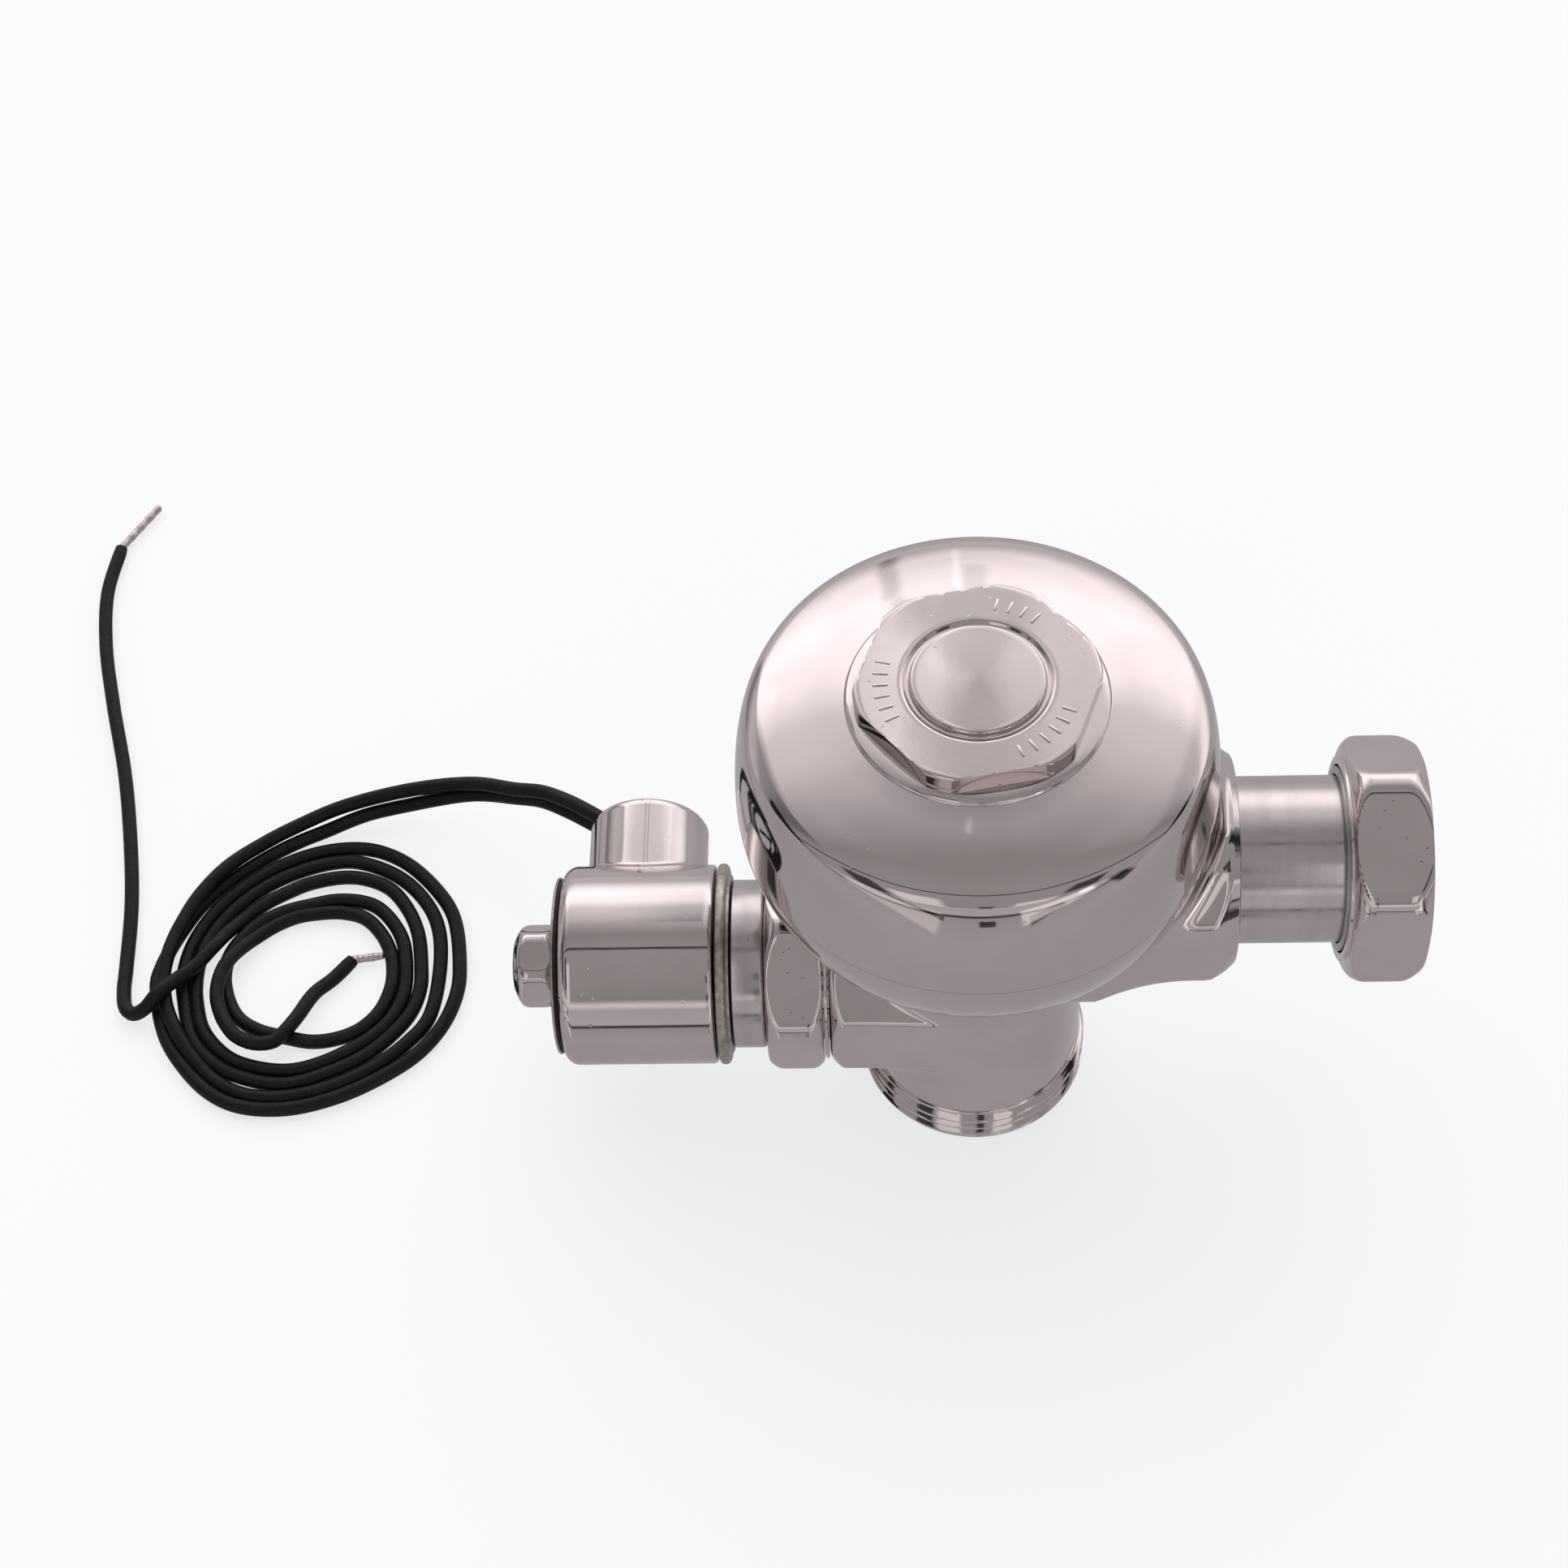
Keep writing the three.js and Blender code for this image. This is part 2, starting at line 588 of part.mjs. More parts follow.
// ---------- leads ----------
// Both leads leave the grommet, lean on the nozzle's left rim, sweep left down to the table and
// enter the coil at its back.
const RUN_A = [
  [NOZZLE.x + LEAD_SPREAD, LEAD_EXIT, 30],
  [-59.1, 24.2, 30.2],
  [-64.9, 30.6, 28.4],
  [-70.8, 33.6, 26.2],
  [-75.7, 40.5, 24.5],
  [-81.2, 44.3, 22],
  [-86.6, 46.9, 19.3],
  [-96, 51.7, 14.8],
  [-110, 54.3, 9.2],
  [-123.4, 53.1, 5.5],
  [-131.8, 49.9, 4],
  [-137.2, 47, 3.2],
];
const RUN_B = [
  [NOZZLE.x - LEAD_SPREAD, LEAD_EXIT, 29.6],
  [-61.4, 24, 27.8],
  [-64.4, 30.2, 25.8],
  [-70.9, 33.4, 22.9],
  [-75.9, 40, 21.4],
  [-81.4, 44.3, 19],
  [-87, 47.2, 16.2],
  [-96.3, 51.2, 11.8],
  [-110.2, 52.9, 6.1],
  [-119, 52.2, 3.8],
  [-126.5, 49.7, 2.3],
];
const TAIL_B = [
  [-158.7, 7.9, 2.2],
  [-161.1, 11.8, 1.5],
  [-162, 18.3, 1.35],
  [-163.4, 33.3, 1.35],
  [-165.8, 48.9, 1.35],
  [-169.1, 64.8, 1.35],
  [-174, 82.6, 1.35],
  [-177.8, 98.5, 1.35],
  [-179.4, 112.5, 1.35],
  [-178.2, 124.5, 1.35],
];
const TAIL_A = [
  [-134.7, 8, 3],
  [-131.3, 5.4, 3.4],
  [-128.3, 6.6, 3],
  [-125.5, 10.4, 2.1],
  [-121.9, 15.7, 1.5],
  [-118.6, 20, 1.35],
];
const beyond = (from, to, gap, length) => {
  const start = new THREE.Vector3(...from);
  const way = new THREE.Vector3(...to).sub(start).normalize();
  const at = (distance) => start.clone().addScaledVector(way, distance).toArray();
  return [at(gap), at(gap + length)];
};
const lead = (points, steps) => cord(points, LEAD.diameter, LEAD.sides, steps);
const strands = (from, { toward, length }) =>
  cord(beyond(from, toward, 2 * GAP, length), LEAD.strands, LEAD.sides, 1);
const leadCoil = () =>
  ring(COIL_OF_LEADS.inner, COIL_OF_LEADS.outer, 0.1, COIL_OF_LEADS.height, COARSE)
    .scale([1, COIL_OF_LEADS.flatness, 1])
    .rotate([0, 0, 45])
    .translate([COIL_OF_LEADS.x, COIL_OF_LEADS.y, 0]);

// ---------- the assembly ----------
add("valve_body", valveBody(), CHROME());
add("main_seat", mainSeat(), BRASS());
add("outer_cover", outerCover(), CHROME());
add("inner_cover", innerCover(), BRASS());
add("cover_gasket", coverGasket(), BLACK_RUBBER());
add("diaphragm", diaphragm(), BLUE_RUBBER());
add("diaphragm_guide", diaphragmGuide(), WHITE_PLASTIC());
add("clamp_disc", plainRing(CLAMP_DISC), BRASS());
add("refill_ring", plainRing(REFILL_RING), BLACK_RUBBER());
add("relief_seat", plainRing(RELIEF_SEAT), BLACK_RUBBER());
add("relief_valve", reliefValve(), BLACK_PLASTIC());
add("tailpiece", tailpiece(), SATIN_CHROME());
add("locking_ring", lockingRing(), STEEL());
add("tail_seal", tailSeal(), BLACK_RUBBER());
add("slip_washer", slipWasher(), STEEL());
add("coupling_nut", couplingNut(), CHROME());
add("operator_washer", operatorWasher(), CHROME());
add("operator_nut", operatorNut(), CHROME());
add("operator_sleeve", operatorSleeve(), SATIN_CHROME());
add("base_washer", baseWasher(), RAW_ZINC());
add("coil_case", coilCase(), CHROME());
add("lead_grommet", leadGrommet(), BLACK_RUBBER());
add("coil_bobbin", bobbin(), BLACK_PLASTIC());
add("coil_winding", winding(), COPPER());
add("end_gasket", endGasket(), BLACK_RUBBER());
add("end_plate", endPlate(), RAW_ZINC());
add("end_nut", endNut(), CHROME());
add("guide_tube", guideTube(), STEEL());
add("fixed_core", fixedCore(), STEEL());
add("plunger", plunger(), STEEL());
add("push_rod", pushRod(), STEEL());
add("rod_bush", rodWayRing(ROD_WAY.bushStart, ROD_WAY.bushEnd), BRASS());
add("rod_seal", rodWayRing(ROD_WAY.sealStart, ROD_WAY.sealEnd), BLACK_RUBBER());
add("return_spring", returnSpring(), STEEL());
add("lead_a_run", lead(RUN_A, 36), BLACK_RUBBER());
add("lead_b_run", lead(RUN_B, 36), BLACK_RUBBER());
add("lead_coil", leadCoil(), BLACK_RUBBER());
add("lead_a_tail", lead(TAIL_A, 10), BLACK_RUBBER());
add("lead_b_tail", lead(TAIL_B, 30), BLACK_RUBBER());
add("lead_a_end", strands(TAIL_A.at(-1), END_A), TINNED());
add("lead_b_end", strands(TAIL_B.at(-1), END_B), TINNED());

// The frame's origin is the middle of the object without its leads, on the standing surface.
group.position.x = -(END_NUT.start + NUT.end) / 2;

export default group;
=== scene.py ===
"""A chromed solenoid flush valve with two bare-ended leads, on a pale floor in soft studio light."""

import json
import math

import bpy
import numpy as np
from mathutils import Matrix, Vector


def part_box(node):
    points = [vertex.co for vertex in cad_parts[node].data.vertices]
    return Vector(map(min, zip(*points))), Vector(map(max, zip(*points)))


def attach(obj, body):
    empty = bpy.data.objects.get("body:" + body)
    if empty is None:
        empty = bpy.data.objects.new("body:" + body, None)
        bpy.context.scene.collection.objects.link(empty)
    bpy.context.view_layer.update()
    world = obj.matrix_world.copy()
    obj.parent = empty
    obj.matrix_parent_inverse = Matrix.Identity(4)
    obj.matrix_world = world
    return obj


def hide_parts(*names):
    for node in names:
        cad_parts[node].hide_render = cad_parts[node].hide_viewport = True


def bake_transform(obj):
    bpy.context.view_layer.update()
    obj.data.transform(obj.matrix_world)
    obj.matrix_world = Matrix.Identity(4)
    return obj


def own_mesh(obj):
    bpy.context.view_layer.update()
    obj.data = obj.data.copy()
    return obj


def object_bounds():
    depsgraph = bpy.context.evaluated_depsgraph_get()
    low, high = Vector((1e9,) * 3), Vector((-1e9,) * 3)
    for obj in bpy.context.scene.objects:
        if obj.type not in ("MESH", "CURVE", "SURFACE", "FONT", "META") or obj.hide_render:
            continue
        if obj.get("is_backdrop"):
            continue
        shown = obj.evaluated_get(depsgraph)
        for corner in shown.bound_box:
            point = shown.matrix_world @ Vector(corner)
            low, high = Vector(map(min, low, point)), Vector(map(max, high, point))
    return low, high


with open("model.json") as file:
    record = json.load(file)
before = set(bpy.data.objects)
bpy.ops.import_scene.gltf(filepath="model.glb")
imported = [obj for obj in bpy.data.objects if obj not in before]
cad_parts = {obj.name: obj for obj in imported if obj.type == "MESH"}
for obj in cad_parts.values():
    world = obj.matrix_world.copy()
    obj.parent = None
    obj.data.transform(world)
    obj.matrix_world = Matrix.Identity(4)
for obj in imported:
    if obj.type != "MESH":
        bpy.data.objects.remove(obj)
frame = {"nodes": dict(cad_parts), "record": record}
cad_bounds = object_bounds()

MM = 0.001
COVER_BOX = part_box("outer_cover")
AXIS_X = (COVER_BOX[0].x + COVER_BOX[1].x) / 2  # the valve's own axis, in the row frame


def linked(name, data):
    """A new object in the scene."""
    made = bpy.data.objects.new(name, data)
    bpy.context.scene.collection.objects.link(made)
    return made


# ---------- camera ----------
VIEW_DEGREES = (4.18, 54.27, -4.25)  # azimuth, elevation and roll
VIEW_TARGET = (-0.0278, 0, 0.0852)
VIEW_DISTANCE = 0.5036
LENS_MM, SENSOR_MM = 70.08, 36


def make_camera():
    """The photograph's view: from the front, well above, leaning a little to one side."""
    azimuth, elevation, roll = (math.radians(a) for a in VIEW_DEGREES)
    back = Vector(
        (
            math.sin(azimuth) * math.cos(elevation),
            -math.cos(azimuth) * math.cos(elevation),
            math.sin(elevation),
        )
    )
    right = Vector((0, 0, 1)).cross(back).normalized()
    up = back.cross(right)
    turned_right = math.cos(roll) * right + math.sin(roll) * up
    turned_up = -math.sin(roll) * right + math.cos(roll) * up
    data = bpy.data.cameras.new("camera")
    data.sensor_width = SENSOR_MM
    data.lens = LENS_MM
    data.clip_start = 0.01
    data.clip_end = 50
    camera = linked("camera", data)
    matrix = Matrix((turned_right, turned_up, back)).transposed().to_4x4()
    matrix.translation = Vector(VIEW_TARGET) + VIEW_DISTANCE * back
    camera.matrix_world = matrix
    bpy.context.scene.camera = camera


make_camera()


# ---------- leads ----------
LEAD_DIAMETER = 2.8
ON_TABLE = 1.45  # height of a lead's middle where it lies on the floor
COIL_CENTRE = (-126.7, 16.7)
SLEEVE_END = ((1, 0.9), (2, 0.96), (3, 0.99))  # (points back from the end, radius as a share)

# Each lead runs from inside the nozzle to the coil, turns round it, and leaves it as a tail.
# Points are (x, y, height) in millimetres from the valve's axis.
RUN_A = [
    (-57.5, 19.2, 30),
    (-59.1, 24.2, 30.2),
    (-64.9, 30.6, 28.4),
    (-70.4, 35.6, 26.6),
    (-75.8, 40.3, 24.5),
    (-81.2, 44.3, 22),
    (-86.6, 46.9, 19.3),
    (-96, 51.7, 14.8),
    (-110, 54.3, 9.2),
    (-123.4, 53.1, 5.5),
    (-131.8, 49.9, 4),
    (-137.2, 47, 3.4),
]
RUN_B = [
    (-61.1, 19.2, 29.6),
    (-61.4, 24, 27.8),
    (-64.8, 30.2, 25.6),
    (-70.2, 35.2, 23.4),
    (-75.8, 40.1, 21.2),
    (-81.4, 44.3, 19),
    (-87, 47.2, 16.2),
    (-96.3, 51.2, 11.8),
    (-110.2, 52.9, 6.1),
    (-119, 52.2, 3.8),
    (-126.5, 49.7, 2.3),
]
# Stations round the coil: angle in degrees, distance from its centre, and the height if not ON_TABLE.
TURNS_A = [
    (127, 29.9, 3.85), (143, 28.5, 3.85), (155, 27.7, 3.85), (168, 27.5, 3.85), (179, 27.6, 3.6),
    (187, 27.5, 3.4), (197, 27.4, 3.1), (210, 27.1, 2.8), (222, 27.2, 2), (236, 27.8),
    (250, 27.9), (266, 26.9), (285, 25.6), (305, 25.1), (323, 25.4), (337, 25.9),
    (366, 25.3), (386, 26.4), (402, 26.9), (417, 27.1), (433, 26.9),
    (442, 26.3), (456, 24.7), (472, 23.3), (487, 22.4), (504, 21.9),
    (519, 21.8), (532, 21.8), (545, 21.7), (555, 21.8), (572, 22.5),
    (587, 22.6), (600, 22.4), (624, 21.3), (645, 19.9), (675, 19.4),
    (691, 19.5), (707, 19.2), (723, 18.7), (743, 19), (759, 19.2),
    (773, 19.3), (784, 18.6), (798, 17.4), (816, 16), (830, 15.8),
    (844, 15.9), (867, 16.2), (884, 16.5), (900, 16.3), (921, 15.9),
    (938, 15.7), (956, 14.9), (977, 14.2), (999, 15.1), (1019, 16),
    (1034, 16.6), (1051, 16.7), (1070, 16.4), (1084, 16.2), (1095, 16.1),
    (1113, 16), (1133, 16), (1151, 15), (1167, 14.1), (1185, 13.8),
    (1204, 13.7), (1222, 13.9, 1.8), (1236, 14.4, 2.7), (1248, 15.2, 3.5), (1259, 16.1, 3.95),
    (1270, 17, 4), (1280, 17.7, 4), (1290, 18.2, 4), (1300, 18.7, 4), (1311, 19.1, 4),
    (1323, 18.5, 3.85), (1334, 16.8, 3.9), (1339, 14.2, 3.9), (1345, 10.7, 3.4), (1370, 4.9, 2.2),
]
TURNS_B = [
    (100, 31.1, 1.8), (112, 29.5), (128, 28.2), (143, 27.9), (157, 27.8),
    (168, 28.3), (176, 28.9), (183, 29.3), (206, 29.3), (223, 29.6),
    (238, 30.4), (250, 30.5), (267, 29.4), (286, 28.1), (305, 27.8),
    (322, 28.6), (337, 29.1), (351, 29.2), (362, 29), (385, 29.8),
    (399, 30), (417, 30.5), (431, 30.4), (443, 29.3), (456, 27.8),
    (470, 26.3), (487, 25.1), (502, 24.7), (516, 24.5), (528, 24.4),
    (542, 24.3), (553, 24.1), (574, 25.1), (587, 25.2), (601, 25),
    (625, 24.2), (647, 22.4), (664, 22), (682, 21.9), (697, 22.2),
    (711, 22), (723, 21.6), (745, 22.3), (761, 23.2), (775, 24),
    (789, 23.6), (800, 22.7), (816, 21.1), (828, 20), (841, 19.4),
    (854, 19, 1.5), (870, 18.9, 2.6), (885, 19.4, 3.9), (897.5, 21.3, 4.3), (908, 25.4, 5.2),
    (913, 28.4, 5.6), (916, 31.4, 3.9),
]
TAIL_A = [(-121.9, 15.7, 1.5), (-118.6, 20, 1.35)]
TAIL_B = [
    (-159.2, 7.7, 2.6),
    (-161.1, 9.4, 1.9),
    (-162.1, 13.4, 1.5),
    (-162.4, 18.3, 1.35),
    (-163.4, 33.3, 1.35),
    (-165.8, 48.9, 1.35),
    (-169.1, 64.8, 1.35),
    (-174, 82.6, 1.35),
    (-177.8, 98.5, 1.35),
    (-179.4, 112.5, 1.35),
    (-178.2, 124.5, 1.35),
]
# The bare strands: a point that they head for, and their length.
END_A = ((-110.7, 21.2, 1.35), 6.2)
END_B = ((-171.2, 136.4, 1.35), 13.5)


def to_row(points):
    """Millimetres from the valve's axis to the row frame, in metres."""
    moved = np.array(points, float) * MM
    moved[..., 0] += AXIS_X
    return moved


def coil_points(stations):
    """Stations round the coil as (x, y, height) points."""
    points = []
    for angle, radius, *height in stations:
        turn = math.radians(angle)
        points.append(
            (
                COIL_CENTRE[0] + radius * math.cos(turn),
                COIL_CENTRE[1] + radius * math.sin(turn),
                height[0] if height else ON_TABLE,
            )
        )
    return points


def mixed(first, second, start, end, at):
    """The point at a station between first, at start, and second, at end."""
    return ((end - at) * first + (at - start) * second) / (end - start)


def smooth_line(points, step):
    """Points about step apart on a smooth curve, a centripetal Catmull-Rom spline, through the points."""
    given = np.array(points, float)
    padded = np.vstack([2 * given[0] - given[1], given, 2 * given[-1] - given[-2]])
    gaps = np.linalg.norm(np.diff(padded, axis=0), axis=1)
    knots = np.concatenate([[0], np.cumsum(gaps**0.5)])
    line = []
    for i in range(1, len(padded) - 2):
        p, t = padded[i - 1 : i + 3], knots[i - 1 : i + 3]
        count = max(2, math.ceil(np.linalg.norm(p[2] - p[1]) / step))
        for at in np.linspace(t[1], t[2], count, endpoint=False):
            a = [mixed(p[k], p[k + 1], t[k], t[k + 1], at) for k in range(3)]
            b = [mixed(a[k], a[k + 1], t[k], t[k + 2], at) for k in range(2)]
            line.append(mixed(b[0], b[1], t[1], t[2], at))
    line.append(given[-1])
    return np.array(line)


def length_of(line):
    return float(np.linalg.norm(np.diff(line, axis=0), axis=1).sum())


def lead_curve(name, points):
    """The sleeve as one round curve object, and its line in millimetres."""
    line = smooth_line(points, 1.0)
    data = bpy.data.curves.new(name, "CURVE")
    data.dimensions = "3D"
    data.bevel_depth = LEAD_DIAMETER / 2 * MM
    data.bevel_resolution = 5
    data.use_fill_caps = True
    spline = data.splines.new("POLY")
    spline.points.add(len(line) - 1)
    for point, place in zip(spline.points, to_row(line)):
        point.co = (*place, 1)
    for back, share in SLEEVE_END:
        spline.points[-back].radius = share
    return linked(name, data), line


# ---------- materials ----------
def new_material(name, color, metallic, roughness):
    made = bpy.data.materials.new(name)
    made.use_nodes = True
    shader = made.node_tree.nodes["Principled BSDF"]
    shader.inputs["Base Color"].default_value = (*color, 1)
    shader.inputs["Metallic"].default_value = metallic
    shader.inputs["Roughness"].default_value = roughness
    return made


class Look:
    """Adds node detail to one material, all of it in object coordinates."""

    def __init__(self, made):
        self.tree = made.node_tree
        self.nodes = self.tree.nodes
        self.links = self.tree.links
        self.shader = self.nodes["Principled BSDF"]
        self.coordinates = self.nodes.new("ShaderNodeTexCoord").outputs["Object"]

    def noise(self, scale, stretch=(1, 1, 1), detail=3, roughness=0.5):
        mapping = self.nodes.new("ShaderNodeMapping")
        mapping.inputs["Scale"].default_value = stretch
        self.links.new(self.coordinates, mapping.inputs["Vector"])
        texture = self.nodes.new("ShaderNodeTexNoise")
        texture.inputs["Scale"].default_value = scale
        texture.inputs["Detail"].default_value = detail
        texture.inputs["Roughness"].default_value = roughness
        self.links.new(mapping.outputs["Vector"], texture.inputs["Vector"])
        return texture.outputs["Fac"]

    def pits(self, scale, size):
        """1 in small round spots, and 0 elsewhere."""
        texture = self.nodes.new("ShaderNodeTexVoronoi")
        texture.inputs["Scale"].default_value = scale
        texture.inputs["Randomness"].default_value = 1
        self.links.new(self.coordinates, texture.inputs["Vector"])
        spot = self.ramp(texture.outputs["Distance"], 0, size, 1, 0)
        rare = self.ramp(self.noise(scale / 6), 0.5, 0.62, 0, 1)
        return self.times(spot, rare)

    def ramp(self, value, low, high, low_to, high_to):
        """The value with low taken to low_to and high taken to high_to, and no further."""
        node = self.nodes.new("ShaderNodeMapRange")
        node.inputs["From Min"].default_value = low
        node.inputs["From Max"].default_value = high
        node.inputs["To Min"].default_value = low_to
        node.inputs["To Max"].default_value = high_to
        self.links.new(value, node.inputs["Value"])
        return node.outputs["Result"]

    def times(self, a, b):
        node = self.nodes.new("ShaderNodeMath")
        node.operation = "MULTIPLY"
        self.links.new(a, node.inputs[0])
        self.links.new(b, node.inputs[1])
        return node.outputs["Value"]

    def bump(self, height, depth):
        """One more layer of relief. depth is in metres."""
        node = self.nodes.new("ShaderNodeBump")
        node.inputs["Distance"].default_value = depth
        node.inputs["Strength"].default_value = 1
        self.links.new(height, node.inputs["Height"])
        normal = self.shader.inputs["Normal"]
        if normal.links:
            self.links.new(normal.links[0].from_socket, node.inputs["Normal"])
        self.links.new(node.outputs["Normal"], normal)

    def roughness(self, value, low, high):
        self.links.new(self.ramp(value, 0.3, 0.7, low, high), self.shader.inputs["Roughness"])

    def colors(self, value, first, second):
        node = self.nodes.new("ShaderNodeMix")
        node.data_type = "RGBA"
        node.inputs["A"].default_value = (*first, 1)
        node.inputs["B"].default_value = (*second, 1)
        self.links.new(self.ramp(value, 0.35, 0.65, 0, 1), node.inputs["Factor"])
        self.links.new(node.outputs["Result"], self.shader.inputs["Base Color"])


def shade(color, factor):
    return tuple(c * factor for c in color)


CHROME_TINT = (0.62, 0.545, 0.545)


def chrome_material(name, wave, pitting):
    """Bright plating over polished metal. wave is the depth of its slow unevenness."""
    made = new_material(name, CHROME_TINT, 1, 0.06)
    look = Look(made)
    look.colors(look.noise(60, detail=5), shade(CHROME_TINT, 0.96), shade(CHROME_TINT, 1.04))
    look.roughness(look.noise(140, detail=6), 0.035, 0.085)
    look.bump(look.noise(38, detail=1), wave)
    look.bump(look.noise(900, detail=4), 1.2e-6)
    look.bump(look.pits(420, 0.13), -pitting)
    return made


def turned_material(name, color, low, high, depth):
    """Metal with fine rings left by turning it about the X axis. low and high are its roughness."""
    made = new_material(name, color, 1, 0.2)
    look = Look(made)
    bands = look.noise(90, stretch=(2, 0.3, 0.3), detail=5)
    look.colors(bands, shade(color, 0.9), shade(color, 1.06))
    look.roughness(look.noise(160, stretch=(3, 0.4, 0.4), detail=5), low, high)
    look.bump(look.noise(900, stretch=(1, 0.03, 0.03), detail=4, roughness=0.65), depth)
    look.bump(look.noise(45, detail=1), 3e-5)
    look.bump(look.pits(330, 0.16), -3e-5)
    return made


def mottled_material(name, color, metallic, low, high, grain, depth):
    """A grainy surface with uneven color. low and high are its roughness."""
    made = new_material(name, color, metallic, 0.5)
    look = Look(made)
    patches = look.noise(grain, detail=6, roughness=0.65)
    look.colors(patches, shade(color, 0.7), shade(color, 1.25))
    look.roughness(look.noise(grain * 1.7, detail=4), low, high)
    look.bump(look.noise(grain * 2.5, detail=5), depth)
    return made


# (name, color, lowest roughness, highest roughness, depth of the rings in metres)
TURNED = [
    ("satin_chrome", (0.57, 0.51, 0.51), 0.12, 0.24, 4.5e-6),
    ("brass", (0.62, 0.47, 0.22), 0.25, 0.4, 4e-6),
    ("steel", (0.42, 0.41, 0.41), 0.25, 0.42, 5e-6),
    ("copper", (0.55, 0.24, 0.11), 0.3, 0.45, 4e-5),
]
# (name, color, metallic, lowest roughness, highest roughness, grain, depth of the grain in metres)
MOTTLED = [
    ("raw_zinc", (0.42, 0.385, 0.355), 1, 0.28, 0.5, 700, 2e-5),
    ("tinned", (0.62, 0.54, 0.53), 1, 0.22, 0.4, 1500, 2e-5),
    ("black_rubber", (0.012, 0.011, 0.011), 0, 0.55, 0.75, 500, 2e-5),
    ("blue_rubber", (0.025, 0.05, 0.12), 0, 0.5, 0.7, 400, 2e-5),
    ("white_plastic", (0.74, 0.72, 0.66), 0, 0.35, 0.5, 300, 1e-5),
    ("black_plastic", (0.015, 0.016, 0.017), 0, 0.4, 0.55, 400, 1e-5),
    ("lead_sleeve", (0.007, 0.006, 0.0055), 0, 0.34, 0.6, 900, 3e-5),
]
MATERIALS = {"chrome": chrome_material("chrome", 2.2e-4, 2e-5)}
MATERIALS.update((row[0], turned_material(*row)) for row in TURNED)
MATERIALS.update((row[0], mottled_material(*row)) for row in MOTTLED)
SLEEVE_SHADER = MATERIALS["lead_sleeve"].node_tree.nodes["Principled BSDF"]
SLEEVE_SHADER.inputs["Specular IOR Level"].default_value = 0.22
SLOT_OF = {s["node"]: s["material_slot"] for s in frame["record"]["subparts"]}


# ---------- mesh tools ----------
SHARP = 35  # degrees


def smooth_min(a, b, reach):
    """The lesser of a and b, with their meeting rounded over a reach."""
    blend = np.clip(reach - np.abs(a - b), 0, None) / reach
    return np.minimum(a, b) - blend * blend * reach / 4


def polygon_radius(angles, sides, apothem, turn, sharpness):
    """Radius of a regular polygon with softened corners. turn is the angle of one corner, in degrees."""
    facing = math.radians(turn) + math.pi / sides + 2 * math.pi * np.arange(sides) / sides
    towards = np.cos(np.asarray(angles)[..., None] - facing)
    return apothem * sharpness / np.log(np.exp(sharpness * towards).sum(-1))


def rounded(outline, closed=True, steps=5):
    """An outline with the corners rounded at its (radius, height, corner rounding) points."""
    made = []
    count = len(outline)
    for i, (r, h, *soft) in enumerate(outline):
        here = np.array((r, h), float)
        if not soft or (not closed and i in (0, count - 1)):
            made.append(here)
            continue
        before = np.array(outline[i - 1][:2], float)
        after = np.array(outline[(i + 1) % count][:2], float)
        one, two = before - here, after - here
        size = min(soft[0], 0.48 * np.linalg.norm(one), 0.48 * np.linalg.norm(two))
        start = here + size * one / np.linalg.norm(one)
        end = here + size * two / np.linalg.norm(two)
        for t in np.linspace(0, 1, steps):
            made.append((1 - t) ** 2 * start + 2 * t * (1 - t) * here + t * t * end)
    return made


def divided(outline, step, closed=True):
    """The outline again, with long stretches divided."""
    made = []
    count = len(outline)
    for i, here in enumerate(outline):
        here = np.array(here, float)
        made.append(here)
        if not closed and i == count - 1:
            break
        after = np.array(outline[(i + 1) % count], float)
        parts = math.ceil(np.linalg.norm(after - here) / step)
        made += [here + (after - here) * k / parts for k in range(1, parts)]
    return made


def arc(centre_r, centre_h, radius_r, radius_h, start, end, steps):
    """Points of an elliptical arc. Angles in degrees."""
    return [
        (centre_r + radius_r * math.cos(a), centre_h + radius_h * math.sin(a))
        for a in np.radians(np.linspace(start, end, steps + 1))
    ]


def grid_faces(rows, columns, wrap_rows):
    """Faces between rows of points that each close on themselves. wrap_rows joins the last row to the first."""
    faces = []
    for i in range(rows if wrap_rows else rows - 1):
        after = (i + 1) % rows
        for j in range(columns):
            side = (j + 1) % columns
            here, there = i * columns, after * columns
            faces.append((here + j, here + side, there + side, there + j))
    return faces


def capped(rows):
    """(vertices, faces) of a skin over rows of points, with a flat cap on the first and on the last."""
    count, last = len(rows[0]), (len(rows) - 1) * len(rows[0])
    faces = grid_faces(len(rows), count, False)
    faces.append(tuple(range(count))[::-1])
    faces.append(tuple(range(last, last + count)))
    return np.concatenate(rows), faces


def thread_ridge(angles, height, pitch):
    """0 in the groove and 1 on the crest of a thread."""
    phase = (height / pitch - angles / (2 * math.pi)) % 1
    return np.clip(1.25 - 2.5 * np.abs(phase - 0.5), 0, 1)


def ring_points(axis, centre, radius, height, angles):
    """Points of a ring about one axis. centre is the axis's two other coordinates."""
    across, up = radius * np.cos(angles), radius * np.sin(angles)
    along = np.broadcast_to(height, across.shape)
    if axis == "z":
        return np.stack([centre[0] + across, centre[1] + up, along], -1)
    if axis == "x":
        return np.stack([along, centre[0] + across, centre[1] + up], -1)
    return np.stack([centre[0] + across, along, centre[1] + up], -1)


